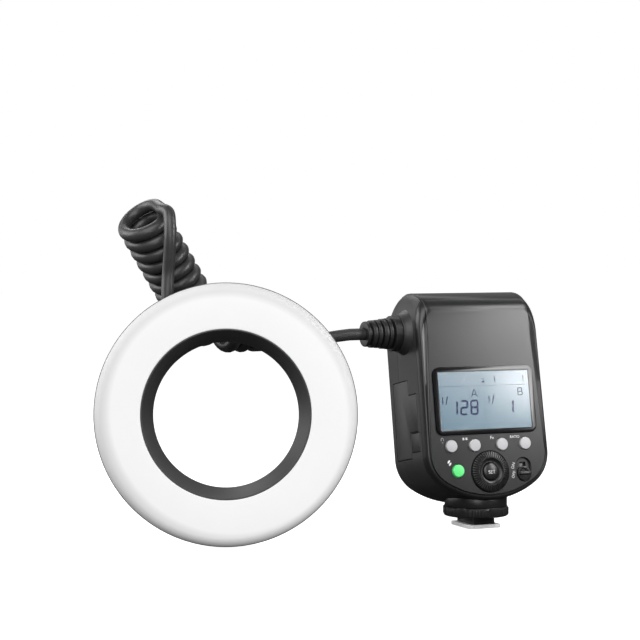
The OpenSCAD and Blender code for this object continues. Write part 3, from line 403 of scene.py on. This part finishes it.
def beam(points, x0, x1, where):
    """A cutter along a frame's first axis."""
    return raw("cut", *skin([[(x, y, z) for y, z in points] for x in (x0, x1)]), where)


def arc(cx, cv, r, a0, a1, n):
    turns = [a0 + (a1 - a0) * i / n for i in range(n + 1)]
    return [(cx + r * cos(a), cv + r * sin(a)) for a in turns]


def disc(x, v, r, n=72):
    return arc(x, v, r, 0, 2 * pi * (n - 1) / n, n - 1)


def rounded(x, v, w, h, r, n=8):
    out = []
    for sx, sv, a in ((1, -1, -pi / 2), (1, 1, 0), (-1, 1, pi / 2), (-1, -1, pi)):
        out += arc(x + sx * (w / 2 - r), v + sv * (h / 2 - r), r, a, a + pi / 2, n)
    return out


def box_points(x0, x1, v0, v1):
    return [(x0, v0), (x1, v0), (x1, v1), (x0, v1)]


def boolean(obj, others, operation="DIFFERENCE"):
    """Cuts obj with the others, or joins them to it; the others are then deleted."""
    group = bpy.data.collections.new("cutters")
    for o in others:
        group.objects.link(o)
    mod = obj.modifiers.new("cut", "BOOLEAN")
    mod.operand_type, mod.collection = "COLLECTION", group
    mod.operation, mod.solver = operation, "EXACT"
    me = evaluated_mesh(obj)
    obj.modifiers.clear()
    obj.data = me
    for o in others:
        bpy.data.objects.remove(o)
    bpy.data.collections.remove(group)


# Cord: the route's points, as in the part's source, joined into one smooth tube
CORD_D, CORD_SIDES = 6.4, 20
BOOT_TIP = panel(-BOOT_END, GLAND_Y, GLAND_V)
LEAD = [(-68, 16, 105), (-75, 16.2, 104.3), (-82, 17, 103.3), (-89, 18, 102.2), (-96, 19.3, 101.1),
        (-102, 21.5, 100), (-106.6, 25.7, 99.1)]
TAIL = [(-29.5, 104, -14), (-28.6, 98, -11.2), (-28.6, 90, -11), (-29, 81, -13.2), (-29.6, 73, -15.6),
        (-30, 65, -16)]
TAIL_END = (-30, 58, -16)
CURL_END, CURL_R, BEND_R = np.array((-182.2, 27.3, 168.2)), 10.7, 27.3
START_L, END_L, START_T, BEND_T, END_T = 13.8, 59.8, 1.96, 2.16, 8.44
END_DIR, START_DIR = unit(np.array((-53.2, -23.6, 76))), np.array((-1.0, 0, 0))
BEND = math.acos(END_DIR @ START_DIR)
BEND_AXIS = unit(np.cross(START_DIR, END_DIR))
BEND_IN = np.cross(BEND_AXIS, START_DIR)
BEND_L = BEND_R * BEND
BEND_START = CURL_END - END_L * END_DIR - BEND_R * math.tan(BEND / 2) * (END_DIR + START_DIR)
TURNS = START_T + BEND_T + END_T
CURL_STEPS, SWELL, SWELL_STEPS, NUDGE = 360, 0.26, 20, 0.002


def curl_point(t):
    """A point of the curls, counted in turns from the lead: straight, round the bend, straight."""
    if t < START_T:
        s = t / START_T * START_L
    elif t < START_T + BEND_T:
        s = START_L + (t - START_T) / BEND_T * BEND_L
    else:
        s = START_L + BEND_L + (t - START_T - BEND_T) / END_T * END_L
    g = min(max(s - START_L, 0), BEND_L) / BEND_R
    along = cos(g) * START_DIR + sin(g) * BEND_IN
    centre = (BEND_START + min(s - START_L, 0) * START_DIR
              + BEND_R * (sin(g) * START_DIR + (1 - cos(g)) * BEND_IN)
              + max(s - START_L - BEND_L, 0) * END_DIR)
    a = (TURNS - t) * 2 * pi
    return centre + CURL_R * (cos(a) * np.cross(BEND_AXIS, along) + sin(a) * BEND_AXIS)


def spline(p, steps):
    out = []
    for i in range(len(p) - 1):
        a, b, c, d = p[max(i - 1, 0)], p[i], p[i + 1], p[min(i + 2, len(p) - 1)]
        for k in range(steps):
            t = k / steps
            out.append(0.5 * (2 * b + (c - a) * t + (2 * a - 5 * b + 4 * c - d) * t ** 2
                              + (3 * b - a - 3 * c + d) * t ** 3))
    return out + [p[-1]]


helix = [curl_point(TURNS * i / CURL_STEPS) for i in range(CURL_STEPS + 1)]
d_start = unit(curl_point(NUDGE) - curl_point(0))
d_end = unit(curl_point(TURNS) - curl_point(TURNS - NUDGE))
curl_a, curl_b = helix[0] - CORD_D * d_start, helix[-1] + CORD_D * d_end
lead = [np.array(BOOT_TIP)]
lead += spline([np.array(p, float) for p in LEAD] + [curl_a - CORD_D * d_start, curl_a], 5)
tail = [curl_b] + spline([curl_b + CORD_D / 2 * d_end] + [np.array(ringp(*p)) for p in TAIL], 6)
tail += [np.array(ringp(*TAIL_END))]
route = np.array(lead + helix + tail)


def tube(name, path, radii, sides):
    tang = np.gradient(path, axis=0)
    tang /= np.linalg.norm(tang, axis=1)[:, None]
    n = np.cross(tang[0], (0, 0, 1.0))
    rings = []
    for p, t, r in zip(path, tang, radii):
        n = unit(n - (n @ t) * t)
        b = np.cross(t, n)
        rings.append([tuple(p + r * (cos(a) * n + sin(a) * b)) for a in np.arange(sides) * 2 * pi / sides])
    return smoothed(raw(name, *skin(rings)))


# The curls are a little thicker than the cord's ends, so that no light shows between them
swell = [SWELL * min(1, i / SWELL_STEPS, (CURL_STEPS - i) / SWELL_STEPS) for i in range(CURL_STEPS + 1)]
swell = [0] * len(lead) + swell + [0] * len(tail)
cord = tube("curly_cord", route, [CORD_D / 2 + w for w in swell], CORD_SIDES)
paint(cord, "cord")
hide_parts("cord_lead", "cord_curls", "cord_tail")
pull = np.array(ringp(-1, 0, 0.5)) - np.array(ringp(0, 0, 0))
pull /= pull @ pull
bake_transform(cord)

# Body shells: one fine form, parted into face cover, main shell and rear cover
HALF, BOTTOM, ARC_R, CORNER_R, TOP_W, TOP_H, TAPER = 37.1, 17.0, 51.0, 20.6, 7.5, 16.0, 1.0
CREST, TOP, TOP_ROUND, REAR_DROP, DEPTH, SPLIT = 23.0, 132.4, 13.3, 23.6, 47.5, 29.0
ROLL_W, ROLL_D, REAR_EDGE, FACE_D, FACE_GAP, SPLIT_GAP = 2.0, 3.6, 6.0, 4.4, 0.3, 0.1
DRAFT, REAR_LEAN = math.tan(math.radians(3)), math.tan(math.radians(1.7))
ARC_V = BOTTOM + ARC_R
CORNER_X = HALF - CORNER_R
CORNER_V = ARC_V - sqrt((ARC_R - CORNER_R) ** 2 - CORNER_X ** 2)
TANGENT = math.atan2(CORNER_V - ARC_V, CORNER_X)
ARC_STEPS, CORNER_STEPS, ROLL_STEPS, FRONT_STEPS, REAR_STEPS = 16, 20, 10, 14, 24

# The band over the top, its edge as (inset, sink), and the groove beside the panel
BAND, BAND_LOW, BAND_ROUND, BAND_SHIFT, BAND_STEPS = 30.9, 104.0, 0.45, 0.004, 30
BAND_EDGE = ((0, 0.5), (0.12, 0.2), (BAND_ROUND, 0.0))
GROOVE_TOP, GROOVE_STEPS, CREST_IN, VALLEY_IN, EDGE_IN = 126, 60, 1.7, 2.6, 2.9

# Rooms in the body: the cavity, the openings for battery and latch as (y0, y1, v0, v1), and those for
# the shoe as (radius, top); the FAR values lie outside the body
WALL, SOLE, ROOM_TOP, ROOM_FRONT, ROOM_BACK = 3, 5.2, 116.8, 2.6, 41.5
BATTERY_ROOMS = ((18.2, 37.5, 42, 84.2), (8.5, 18.4, 56, 76))
LATCH_ROOM = (7.2, 16.6, 45.2, 55)
SIDE_GAP, SIDE_INNER = 0.4, -32.8
SHOE_ROOMS = ((19.5, 11.7), (17.2, 12.9))
FAR_X, FAR_FRONT, FAR_BACK, FAR_LOW, FAR_HIGH = 60, -5, 70, -5, 150

# Places on the panel, as (x, v) or a height, and the screws at the back
DISPLAY_V, DIAL_V, KEY_V, KEY_HOLE_R = 70.7, 32.1, 46.5, 3.65
BUTTON_XS = (-22.2, -8.2, 8.2, 22.2)
TEST_KEY = (-19.2, 33.2)
SWITCH_X, SWITCH_HIGH, SWITCH_LOW = 20.5, 34.55, 30.25
SWITCH_ROWS = ((4.6, -0.3), (4.6, 0.0), (4.15, 0.4), (4.15, 1.2))
REAR_SCREWS = ((-22.6, 33), (22.6, 33), (-30.8, 93.8), (30.8, 93.8))


def lower_side(inset):
    side = arc(0, ARC_V, ARC_R - inset, -pi / 2, TANGENT, ARC_STEPS)
    return side + arc(CORNER_X, CORNER_V, CORNER_R - inset, TANGENT, 0, CORNER_STEPS)[1:]


def mirrored(side):
    return side + [(-x, v) for x, v in side[:0:-1]]


def outline(inset, top):
    side = lower_side(inset)
    for i in range(CORNER_STEPS + 1):
        a = pi / 2 * i / CORNER_STEPS
        side.append((HALF - inset - TAPER - TOP_W * (1 - cos(a)), top - TOP_H * (1 - sin(a))))
    return mirrored(side)


def top_at(y):
    if y < CREST:
        return TOP - TOP_ROUND * (1 - sqrt(max(0, 1 - ((CREST - y) / CREST) ** 2)))
    return TOP - REAR_DROP * (1 - sqrt(max(0, 1 - ((y - CREST) / (DEPTH - CREST)) ** 2)))


def leaned(y, v):
    """The back leans a little more than the panel."""
    return y + y / DEPTH * REAR_LEAN * (v - (TOP + BOTTOM) / 2)


def slices():
    """Depths of the form with the inset of its outline: the roll, the sides, then the drafted back."""
    out = []
    for i in range(ROLL_STEPS + 1):
        a = i / ROLL_STEPS * pi / 2
        out.append((ROLL_D * (1 - cos(a)), ROLL_W * (1 - sin(a))))
    a0 = math.acos(1 - ROLL_D / CREST)
    for i in range(1, FRONT_STEPS + 1):
        out.append((CREST * (1 - cos(a0 + (pi / 2 - a0) * i / FRONT_STEPS)), 0))
    for i in range(1, REAR_STEPS + 1):
        y = CREST + (DEPTH - CREST) * sin(i / REAR_STEPS * pi / 2)
        t = max(0, y - DEPTH + REAR_EDGE)
        out.append((y, max(0, y - SPLIT) * DRAFT + REAR_EDGE - sqrt(max(0, REAR_EDGE ** 2 - t * t))))
    return out


def body_form(name):
    rings = [[(x, leaned(y, v), v) for x, v in outline(e, top_at(y))] for y, e in slices()]
    return raw(name, *skin(rings), panel)


def band_form():
    """The band over the top: straight edges, a little rounded."""
    back = SPLIT - SPLIT_GAP
    ys = [0.0] + [CREST * (1 - cos(pi / 2 * i / BAND_STEPS)) for i in range(1, BAND_STEPS + 1)] + [back]
    crest = np.array([(leaned(y, top_at(y)) if y < back else back, top_at(y)) for y in ys])
    way = np.gradient(crest, axis=0)
    way /= np.linalg.norm(way, axis=1)[:, None]
    edges = [(-BAND + d, sink) for d, sink in BAND_EDGE] + [(BAND - d, sink) for d, sink in BAND_EDGE[::-1]]
    rings = []
    for x, sink in edges:
        ring = [(sink + BAND_SHIFT, BAND_LOW)]
        ring += [(y + sink * b + BAND_SHIFT, v - sink * a) for (y, v), (a, b) in zip(crest, way)]
        ring[-1] = (back, ring[-1][1])
        rings.append([(x, y, v) for y, v in ring + [(back, BAND_LOW)]])
    return raw("band", *skin(rings), panel)


def block(x0, x1, y0, y1, v0, v1):
    return prism("cut", box_points(x0, x1, v0, v1), y0, y1)


def layer(y0, y1):
    """All of the body between two depths."""
    return block(-FAR_X, FAR_X, y0, y1, FAR_LOW, FAR_HIGH)


def cavity():
    room = [(x, max(v, BOTTOM + SOLE)) for x, v in outline(WALL, ROOM_TOP)]
    return [prism("cut", room, ROOM_FRONT, ROOM_BACK)]


def side_cuts(*rooms):
    """Openings in the left side, a gap larger all round."""
    grown = [box_points(y0 - SIDE_GAP, y1 + SIDE_GAP, v0 - SIDE_GAP, v1 + SIDE_GAP)
             for y0, y1, v0, v1 in rooms]
    return [beam(points, -FAR_X, SIDE_INNER, panel) for points in grown]


def shoe_room():
    """Room under the body for the lock wheel and the collar, upright in the part's frame."""
    return [column(disc(0, 0, r, 96), FAR_LOW, top) for r, top in SHOE_ROOMS]


def half_at(v):
    """Half width of the panel's outline at a height above its lower corners."""
    start = top_at(0) - TOP_H
    if v < start:
        return HALF - TAPER * (v - CORNER_V) / (start - CORNER_V)
    return HALF - TAPER - TOP_W * (1 - sqrt(max(0, 1 - min(1, (v - start) / TOP_H) ** 2)))


def panel_groove():
    """The valley between the raised rim and the panel, closing up to a line beside the band."""
    span = GROOVE_TOP - CORNER_V
    heights = [CORNER_V + span * i / GROOVE_STEPS for i in range(1, GROOVE_STEPS + 1)]

    def rail(inset, share, lift):
        """A line between the rim's crest, share 0, and the panel's edge, share 1."""
        side = lower_side(inset)
        for v in heights:
            narrowing = min(1, (v - CORNER_V) / (BAND_LOW - CORNER_V))
            inner = HALF - EDGE_IN - (HALF - EDGE_IN - BAND) * narrowing
            crest = max(BAND + BAND_ROUND, half_at(v) - CREST_IN)
            side.append((crest + (inner - crest) * share, v + lift * (v - CORNER_V) / span))
        return mirrored(side)

    crest, low, edge = rail(CREST_IN, 0, 1.0), rail(VALLEY_IN, 0.75, 0.25), rail(EDGE_IN, 1, 0)
    rows = [(crest, -2), (edge, -2), (edge, 0.55), (low, 0.85), (crest, -0.02)]
    return loft("cut", rows, closed=True)


def switch_oval(r):
    return arc(SWITCH_X, SWITCH_HIGH, r, 0, pi, 24) + arc(SWITCH_X, SWITCH_LOW, r, pi, 2 * pi, 24)


face = body_form("shell_face")
boolean(face, [layer(FACE_D, FAR_BACK)])
boolean(face, [band_form()], "UNION")
boolean(face, cavity())
face_cuts = [prism("cut", rounded(0, DISPLAY_V, 60.5, 36.9, 4.2), -3, 1.2),
             prism("cut", rounded(0, DISPLAY_V, 55.8, 32.4, 0.6), -2, 8),
             prism("cut", disc(0, DIAL_V, 11.5, 120), -3, 1.0),
             prism("cut", disc(0, DIAL_V, 7.55), -2, 8),
             prism("cut", disc(*TEST_KEY, KEY_HOLE_R), -3, 8)]
face_cuts += [prism("cut", disc(x, KEY_V, KEY_HOLE_R), -3, 8) for x in BUTTON_XS]
face_cuts += [loft("cut", [(switch_oval(r), y) for r, y in SWITCH_ROWS]),
              block(18.6, 22.4, -2, 8, 28.35, 36.45)]
boolean(face, face_cuts)
boolean(face, [panel_groove()])
piece(smoothed(face), "body", "control_unit", "body_charcoal", "face_cover")

shell = body_form("shell_main")
boolean(shell, [layer(FAR_FRONT, FACE_D + FACE_GAP), layer(SPLIT - SPLIT_GAP, FAR_BACK),
                block(-BAND - 0.4, BAND + 0.4, FAR_FRONT, 40, BAND_LOW - 0.2, FAR_HIGH)])
boolean(shell, cavity())
boolean(shell, side_cuts(*BATTERY_ROOMS))
boolean(shell, side_cuts(LATCH_ROOM))
boolean(shell, shoe_room())
piece(smoothed(shell), "side", "control_unit", "body_charcoal", "main_shell")

rear = body_form("shell_rear")
boolean(rear, [layer(FAR_FRONT, SPLIT + SPLIT_GAP)])
boolean(rear, cavity())
boolean(rear, side_cuts(*BATTERY_ROOMS))
boolean(rear, shoe_room())
boolean(rear, [prism("cut", disc(x, v, 2.6), 43.3, 60) for x, v in REAR_SCREWS])
piece(smoothed(rear), "side", "control_unit", "body_charcoal", "rear_cover")


# Gland and boot on the left side, turned about the cord's axis; fins as (radius, start, end, root)
def gland_frame(x, y, z):
    return panel(-z, GLAND_Y + x, GLAND_V + y)


flare = [(3.4, 34.0), (12.7, 34.0), (12.7, 35.2)]
flare += [(10.2 + 2.4 * (1 - t) ** 1.5, 35.5 + 4.4 * t) for t in (i / 8 for i in range(9))]
flare += [(10.1, 40.3), (3.4, 40.3)]
piece(smoothed(lathe("gland_flare", flare, gland_frame, 96, 0.3)),
      "side", "control_unit", "body_charcoal")

FINS = [(9.75, 40.35, 44.5, 6.2), (8.5, 45.6, 47.5, 6.9), (8.2, 48.2, 50.6, 5.4), (7.7, 51.8, 53.8, 6.2),
        (7.5, 54.6, 56.8, 4.9), (6.9, 58.2, BOOT_END, 3.25)]
boot = [(3.25, 40.35)]
for k, (r, z0, z1, root) in enumerate(FINS):
    boot += [(r, z0), (r - 0.1, z1), (root, z1)]
    if k + 1 < len(FINS):
        boot.append((root, FINS[k + 1][1]))
piece(smoothed(lathe("boot_ribbed", boot, gland_frame, 96, 0.35)),
      "rubber", "control_unit", "boot_rubber", "cable_boot")

# Ring head, turned about the lens axis
RING_SEGMENTS = 256
edge = arc(62.5, -4.4, 4.4, pi / 2, 0, 20)
inner = arc(62.5, -4.4, 2.4, 0, pi / 2, 12)
front = [(43.5, -2), (43.5, -0.5)] + arc(44.0, -0.5, 0.5, pi, pi / 2, 5)[1:]
front += edge + [(66.9, -5), (64.9, -5)] + inner
piece(smoothed(lathe("diffuser_ring", front, ringp, RING_SEGMENTS, 0)),
      "white", "ring_head", "diffuser_white", "diffuser")

cone = [(43.3, -0.3), (43.3, -2), (45.7, -2), (45.7, -3.4), (43.9, -3.4), (38.9, -14.6), (38.9, -21),
        (37.5, -21), (37.5, -14), (42.7, -0.3)]
piece(smoothed(lathe("bezel_cone", cone, ringp, RING_SEGMENTS, 0.25)),
      "cone", "ring_head", "ring_black", "inner_bezel")

house = [(RIM_R, -5), (RIM_R, -RIM_BACK), (57.6, -RIM_BACK), (56, -11.4), (56, -24.5), (54.5, -26),
         (41.5, -26), (41.5, -21), (39.2, -21), (39.2, -19), (43.6, -19), (43.6, -24), (54, -24),
         (54, -9.4), (56.4, -7.8), (62.9, -7.8), (62.9, -3.6), (64.7, -3.6), (64.7, -5)]
housing = lathe("housing_ring", house, ringp, RING_SEGMENTS, 0.4)
pockets = [beam(box_points(-7.2, 7.2, -23, -16.2), side * 49, side * 60, ringp) for side in (-1, 1)]
for t in (math.radians(a) for a in (40, 140, 220, 320)):
    pockets.append(column(disc(48.8 * cos(t), 48.8 * sin(t), 2.0, 32), -30, -24.6, ringp))
boolean(housing, pockets)
piece(smoothed(housing), "ring", "ring_head", "ring_black", "ring_housing")

# Select dial: a ribbed sloping rim, a hollow round the middle, and the domed SET button
RIBS, GROOVE = 48, (0, 0, 0, 0, 0, 0.15, 0.75, 1, 0.75, 0.15)
rim = [(4.95, 4.2), (7.5, 4.2), (7.5, 0.8), (11.0, 0.8), (11.2, 0.5), (11.2, -0.3), (11.1, -0.75),
       (10.8, -1.1), (10.2, -1.35), (9.2, -1.6), (8.2, -1.8), (7.5, -1.9), (7.1, -1.85), (6.9, -1.6),
       (6.5, -1.2), (6.0, -0.85), (5.5, -0.7), (5.1, -0.75), (4.95, -0.6)]
rings = []
for i in range(RIBS * len(GROOVE)):
    t = 2 * pi * i / (RIBS * len(GROOVE))
    groove = GROOVE[i % len(GROOVE)]
    row = []
    for r, y in rim:
        out = 0.4 * groove if r > 11.0 and y < 0.4 else 0.0
        down = 0.65 * groove if 7.3 < r < 11.15 and y < -0.6 else 0.0
        row.append(((r - out) * cos(t), y + down, DIAL_V + (r - out) * sin(t)))
    rings.append(row)
dial = smoothed(raw("dial_ribbed", *skin(rings, closed=True), panel))
piece(dial, "black", "select_dial", "dial_black", "select_dial")


def dial_frame(x, y, z):
    return panel(x, z, DIAL_V + y)


dome = [(0.02, 3.0), (4.6, 3.0), (4.6, -0.9)]
dome += [(4.6 * cos(a), -0.9 - 1.4 * sin(a)) for a in (pi / 2 * i / 16 for i in range(1, 16))]
dome += [(0.02, -2.3)]
piece(smoothed(lathe("set_dome", dome, dial_frame, 96, 0)),
      "black", "set_button", "dial_black", "set_button")

# Display: a thin pane over the lit panel, with its figures between them
SCREEN = box_points(-27.25, 27.25, 55.15, 86.25)
FIGURE_Y, MARK_Y, PRINT_Y, SET_Y, STROKE_T, TEXT_T = -0.56, -0.03, -0.02, -2.32, 0.03, 0.00001
piece(prism("window_pane", SCREEN, -0.75, -0.62), "window", "control_unit", "window_clear", "lcd_window")
piece(prism("display_lit", SCREEN, -0.5, 2.6), "screen", "control_unit", "screen_blue", "lcd_panel")


def strokes(name, lines, material, width, y=FIGURE_Y, slot="screen_blue"):
    """Flat strokes in the panel's plane, each from one point to another."""
    verts, faces = [], []
    for (x0, v0), (x1, v1) in lines:
        dx, dv = x1 - x0, v1 - v0
        n = math.hypot(dx, dv)
        ux, uv = dx / n * width / 2, dv / n * width / 2
        base = len(verts)
        points = [(x0 - ux * 0.2, v0 - uv * 0.2), (x0 + ux - uv, v0 + uv + ux),
                  (x1 - ux - uv, v1 - uv + ux), (x1 + ux * 0.2, v1 + uv * 0.2),
                  (x1 - ux + uv, v1 - uv - ux), (x0 + ux + uv, v0 + uv - ux)]
        for depth in (y, y + STROKE_T):
            verts += [(a, depth, b) for a, b in points]
        faces += [tuple(base + i for i in range(6)), tuple(base + 6 + i for i in range(6))]
        faces += [(base + i, base + (i + 1) % 6, base + 6 + (i + 1) % 6, base + 6 + i) for i in range(6)]
    piece(raw(name, verts, faces, panel), material, "control_unit", slot)


# Seven-segment figures: the strokes of each, and their ends in widths and half heights
FIGURES = {"1": "bc", "2": "abged", "8": "abcdefg"}
SEGMENTS = {"a": ((0, 2), (1, 2)), "b": ((1, 2), (1, 1)), "c": ((1, 1), (1, 0)), "d": ((0, 0), (1, 0)),
            "e": ((0, 0), (0, 1)), "f": ((0, 1), (0, 2)), "g": ((0, 1), (1, 1))}
SLANT = 0.06


def digit(ch, x, v, w, h):
    """The strokes of one figure, from its lower left corner."""
    return [tuple((x + p * w + q * h / 2 * SLANT, v + q * h / 2) for p, q in SEGMENTS[s])
            for s in FIGURES[ch]]


big = digit("1", -20.7, 63.3, 3.4, 7.2) + digit("2", -14.9, 63.3, 3.8, 7.2)
big += digit("8", -8.8, 63.3, 3.8, 7.2) + digit("1", 13.1, 63.5, 3.4, 6.6)
strokes("display_figures", big, "ink", 1.15)
small = [((-25.4, 68.9), (-25.2, 73.0)), ((-23.6, 68.6), (-22.3, 73.4)),
         ((2.4, 68.7), (2.6, 73.0)), ((4.2, 68.4), (5.7, 73.4))]
strokes("display_fractions", small, "ink_pale", 0.62)
letters = [((-8.0, 72.4), (-6.2, 76.7)), ((-6.2, 76.7), (-4.4, 72.4)), ((-7.4, 73.9), (-5.0, 73.9)),
           ((20.4, 72.8), (20.4, 76.6)), ((20.4, 76.6), (22.8, 76.6)), ((20.4, 74.7), (23.0, 74.7)),
           ((20.4, 72.8), (23.0, 72.8)), ((23.0, 74.7), (23.0, 72.8)), ((22.8, 76.6), (22.8, 74.7))]
strokes("display_letters", letters, "ink_pale", 0.52)
rules = [((-26.8, 78.5), (26.5, 78.5)), ((-0.2, 56.2), (-0.2, 76.0)),
         ((-9.3, 71.7), (-9.3, 77.6)), ((-3.4, 71.7), (-3.4, 77.6))]
strokes("display_rules", rules, "ink_faint", 0.2)
icons = [((-1.2, 80.4), (0.9, 80.4)), ((-1.1, 80.9), (0.8, 80.9)), ((6.8, 80.0), (6.8, 83.6))]
strokes("display_icons", icons, "ink_pale", 0.55)
faint = [((24.2, 80.0), (24.2, 83.7)), ((23.6, 82.6), (24.9, 82.6)), ((-1.3, 82.3), (1.0, 82.3))]
strokes("display_faint", faint, "ink_faint", 0.4)


# Lettering on the panel: plain words and signs only
def words(name, text, size, x, v, y=PRINT_Y, turn=0.0, body="control_unit", slot="key_grey"):
    cu = bpy.data.curves.new(name, "FONT")
    cu.body, cu.size, cu.extrude, cu.resolution_u = text, size * MM, TEXT_T, 3
    cu.align_x, cu.align_y = "CENTER", "CENTER"
    tmp = add(name + "_curve", cu)
    me = evaluated_mesh(tmp)
    bpy.data.objects.remove(tmp)
    c, s = cos(turn), sin(turn)
    for p in me.vertices:
        a, b, d = (k / MM for k in p.co)
        p.co = Vector(panel(x + a * c - b * s, y - d, v + a * s + b * c)) * MM
    piece(add(name, me), "mark", body, slot)


SWITCH_TURN = 1.25
words("word_set", "SET", 2.7, -0.2, 31.6, SET_Y, body="set_button", slot="dial_black")
words("word_on", "ON", 2.3, 14.2, 34.6, turn=SWITCH_TURN)
words("word_off", "OFF", 2.3, 14.1, 29.8, turn=SWITCH_TURN)
words("word_fn", "Fn", 2.4, 2.7, 50.2)
words("word_ratio", "RATIO", 2.0, 16.5, 50.2)
bolt = [((-24.9, 37.5), (-23.6, 39.1)), ((-24.2, 36.2), (-22.9, 37.8))]
strokes("mark_bolt", bolt, "mark", 0.95, MARK_Y, "key_grey")
lamp = [((-27.8, 49.4), (-27.8, 50.6)), ((-27.8, 50.6), (-27.1, 51.2)), ((-27.1, 51.2), (-26.4, 50.6)),
        ((-26.4, 50.6), (-26.4, 49.4)), ((-27.5, 48.6), (-26.7, 48.6))]
strokes("mark_lamp", lamp, "mark_dim", 0.35, MARK_Y, "key_grey")
pair = [((-15.1, 49.8), (-13.9, 49.8)), ((-15.1, 50.5), (-13.9, 50.5)),
        ((-13.3, 49.8), (-12.1, 49.8)), ((-13.3, 50.5), (-12.1, 50.5))]
strokes("mark_pair", pair, "mark", 0.5, MARK_Y, "key_grey")

# CAD nodes that stay: finish, width of the broken edges, their segments, and the nodes
FINISHES = (
    ("gloss", 0.3, 3, ["lcd_bezel"]),
    ("grey", 0.3, 3, [f"function_button_{i}" for i in range(1, 5)]),
    ("green", 0.3, 3, ["test_button"]),
    ("black", 0.3, 3, ["power_switch"]),
    ("black", 0.3, 2, ["shoe_collar"]),
    ("black", 0.2, 2, ["foot_neck"]),
    ("black", 0.15, 2, ["lock_wheel"]),
    ("black", 0.1, 2, ["dial_encoder", "switch_body", "battery_terminal", "foot_insulator"]),
    ("side", 0.25, 2, ["battery_pack", "battery_latch"]),
    ("ring", 0.5, 3, ["release_button_left", "release_button_right"]),
    ("rubber", 0.4, 2, ["ring_boot"]),
    ("sleeve", 0.5, 2, ["main_capacitor"]),
    ("steel", 0.25, 2, ["foot_plate"]),
    ("brass", 0.15, 2, ["contact_pins"]),
    ("screw", 0.2, 2, ["body_screws", "lock_pin"]),
    ("screw", 0.15, 2, ["ring_screws"]),
    ("screw", 0.1, 2, ["foot_screws"]),
    ("screw", 0, 0, ["key_switches"]),
    ("board", 0, 0, ["main_board", "trigger_board"]),
    ("holder", 0, 0, ["lcd_backlight", "tube_holders"]),
    ("mirror", 0, 0, ["reflector"]),
    ("glass", 0, 0, ["flash_tube_a", "flash_tube_b"]),
)
for material, bevel, segments, names in FINISHES:
    for name in names:
        dress(name, material, bevel, segments)

# Floor, backdrop and lights: white to look at, dim to the object, which the softboxes light
FLOOR_HALF, FLOOR_Z = 4000, -0.2
AIM = Vector((0, 0, 0.09))


def seen_mix(nt, output, seen, unseen):
    """What the viewer sees directly, and what the object sees of it."""
    path = nt.nodes.new("ShaderNodeLightPath")
    mix = nt.nodes.new("ShaderNodeMixShader")
    nt.links.new(path.outputs["Is Camera Ray"], mix.inputs[0])
    nt.links.new(unseen, mix.inputs[1])
    nt.links.new(seen, mix.inputs[2])
    nt.links.new(mix.outputs[0], output.inputs["Surface"])


ground = [(x, y, FLOOR_Z) for x, y in box_points(-FLOOR_HALF, FLOOR_HALF, -FLOOR_HALF, FLOOR_HALF)]
floor = raw("floor", ground, [(0, 1, 2, 3)])
fm, nt, b = new_material("floor_white")
set_inputs(b, Base_Color=(0.5, 0.5, 0.5, 1), Roughness=0.9, Specular_IOR_Level=0.0,
           Emission_Color=(1, 1, 1, 1), Emission_Strength=0.97)
dim = node(nt, "ShaderNodeBsdfDiffuse", Color=(0.05, 0.05, 0.05, 1))
seen_mix(nt, nt.nodes["Material Output"], b.outputs["BSDF"], dim.outputs["BSDF"])
floor.data.materials.append(fm)

world = bpy.data.worlds.new("studio")
scene.world = world
world.use_nodes = True
wn = world.node_tree
white_bg = wn.nodes["Background"]
set_inputs(white_bg, Color=(1, 1, 1, 1))
room = node(wn, "ShaderNodeBackground", Strength=1.0)
sky = wn.nodes.new("ShaderNodeTexCoord")
way = wn.nodes.new("ShaderNodeSeparateXYZ")
wn.links.new(sky.outputs["Generated"], way.inputs["Vector"])
walls = ramp(wn, way.outputs["Y"], [(0.0, even(0.07)), (0.4, even(0.1)), (0.75, even(0.3))])
wn.links.new(walls, room.inputs["Color"])
seen_mix(wn, wn.nodes["World Output"], white_bg.outputs["Background"], room.outputs["Background"])


def softbox(name, turn, rise, far, size, level):
    """A rectangular light: bearing from the front to the right, height angle, distance, size, level."""
    data = bpy.data.lights.new(name, "AREA")
    data.shape, data.size, data.size_y = "RECTANGLE", size[0], size[1]
    data.energy = level * pi * size[0] * size[1]
    obj = add(name, data)
    a, e = math.radians(turn), math.radians(rise)
    away = Vector((sin(a) * cos(e), -cos(a) * cos(e), sin(e)))
    obj.location = AIM + far * away
    obj.rotation_mode = "QUATERNION"
    obj.rotation_quaternion = (-away).to_track_quat("-Z", "Y")


softbox("key", 40, 22, 0.35, (0.12, 0.12), 10.4)
softbox("key_low", 36, 12, 0.35, (0.1, 0.1), 5)
softbox("key_mid", 46, 34, 0.35, (0.1, 0.1), 5)
softbox("key_high", 51, 45, 0.35, (0.1, 0.1), 13.5)
softbox("strip", 138, 53, 0.9, (0.75, 0.1), 3.0)
softbox("back_left", -142, 5, 1.0, (0.7, 0.34), 1.2)
softbox("back_top", -170, 40, 0.95, (0.4, 0.3), 4.0)
softbox("left", -106, 22, 0.8, (0.5, 0.45), 5.5)
softbox("low", -20, 4, 0.7, (0.3, 0.2), 3.8)
softbox("fill", -35, 35, 1.0, (0.8, 0.8), 3.8)
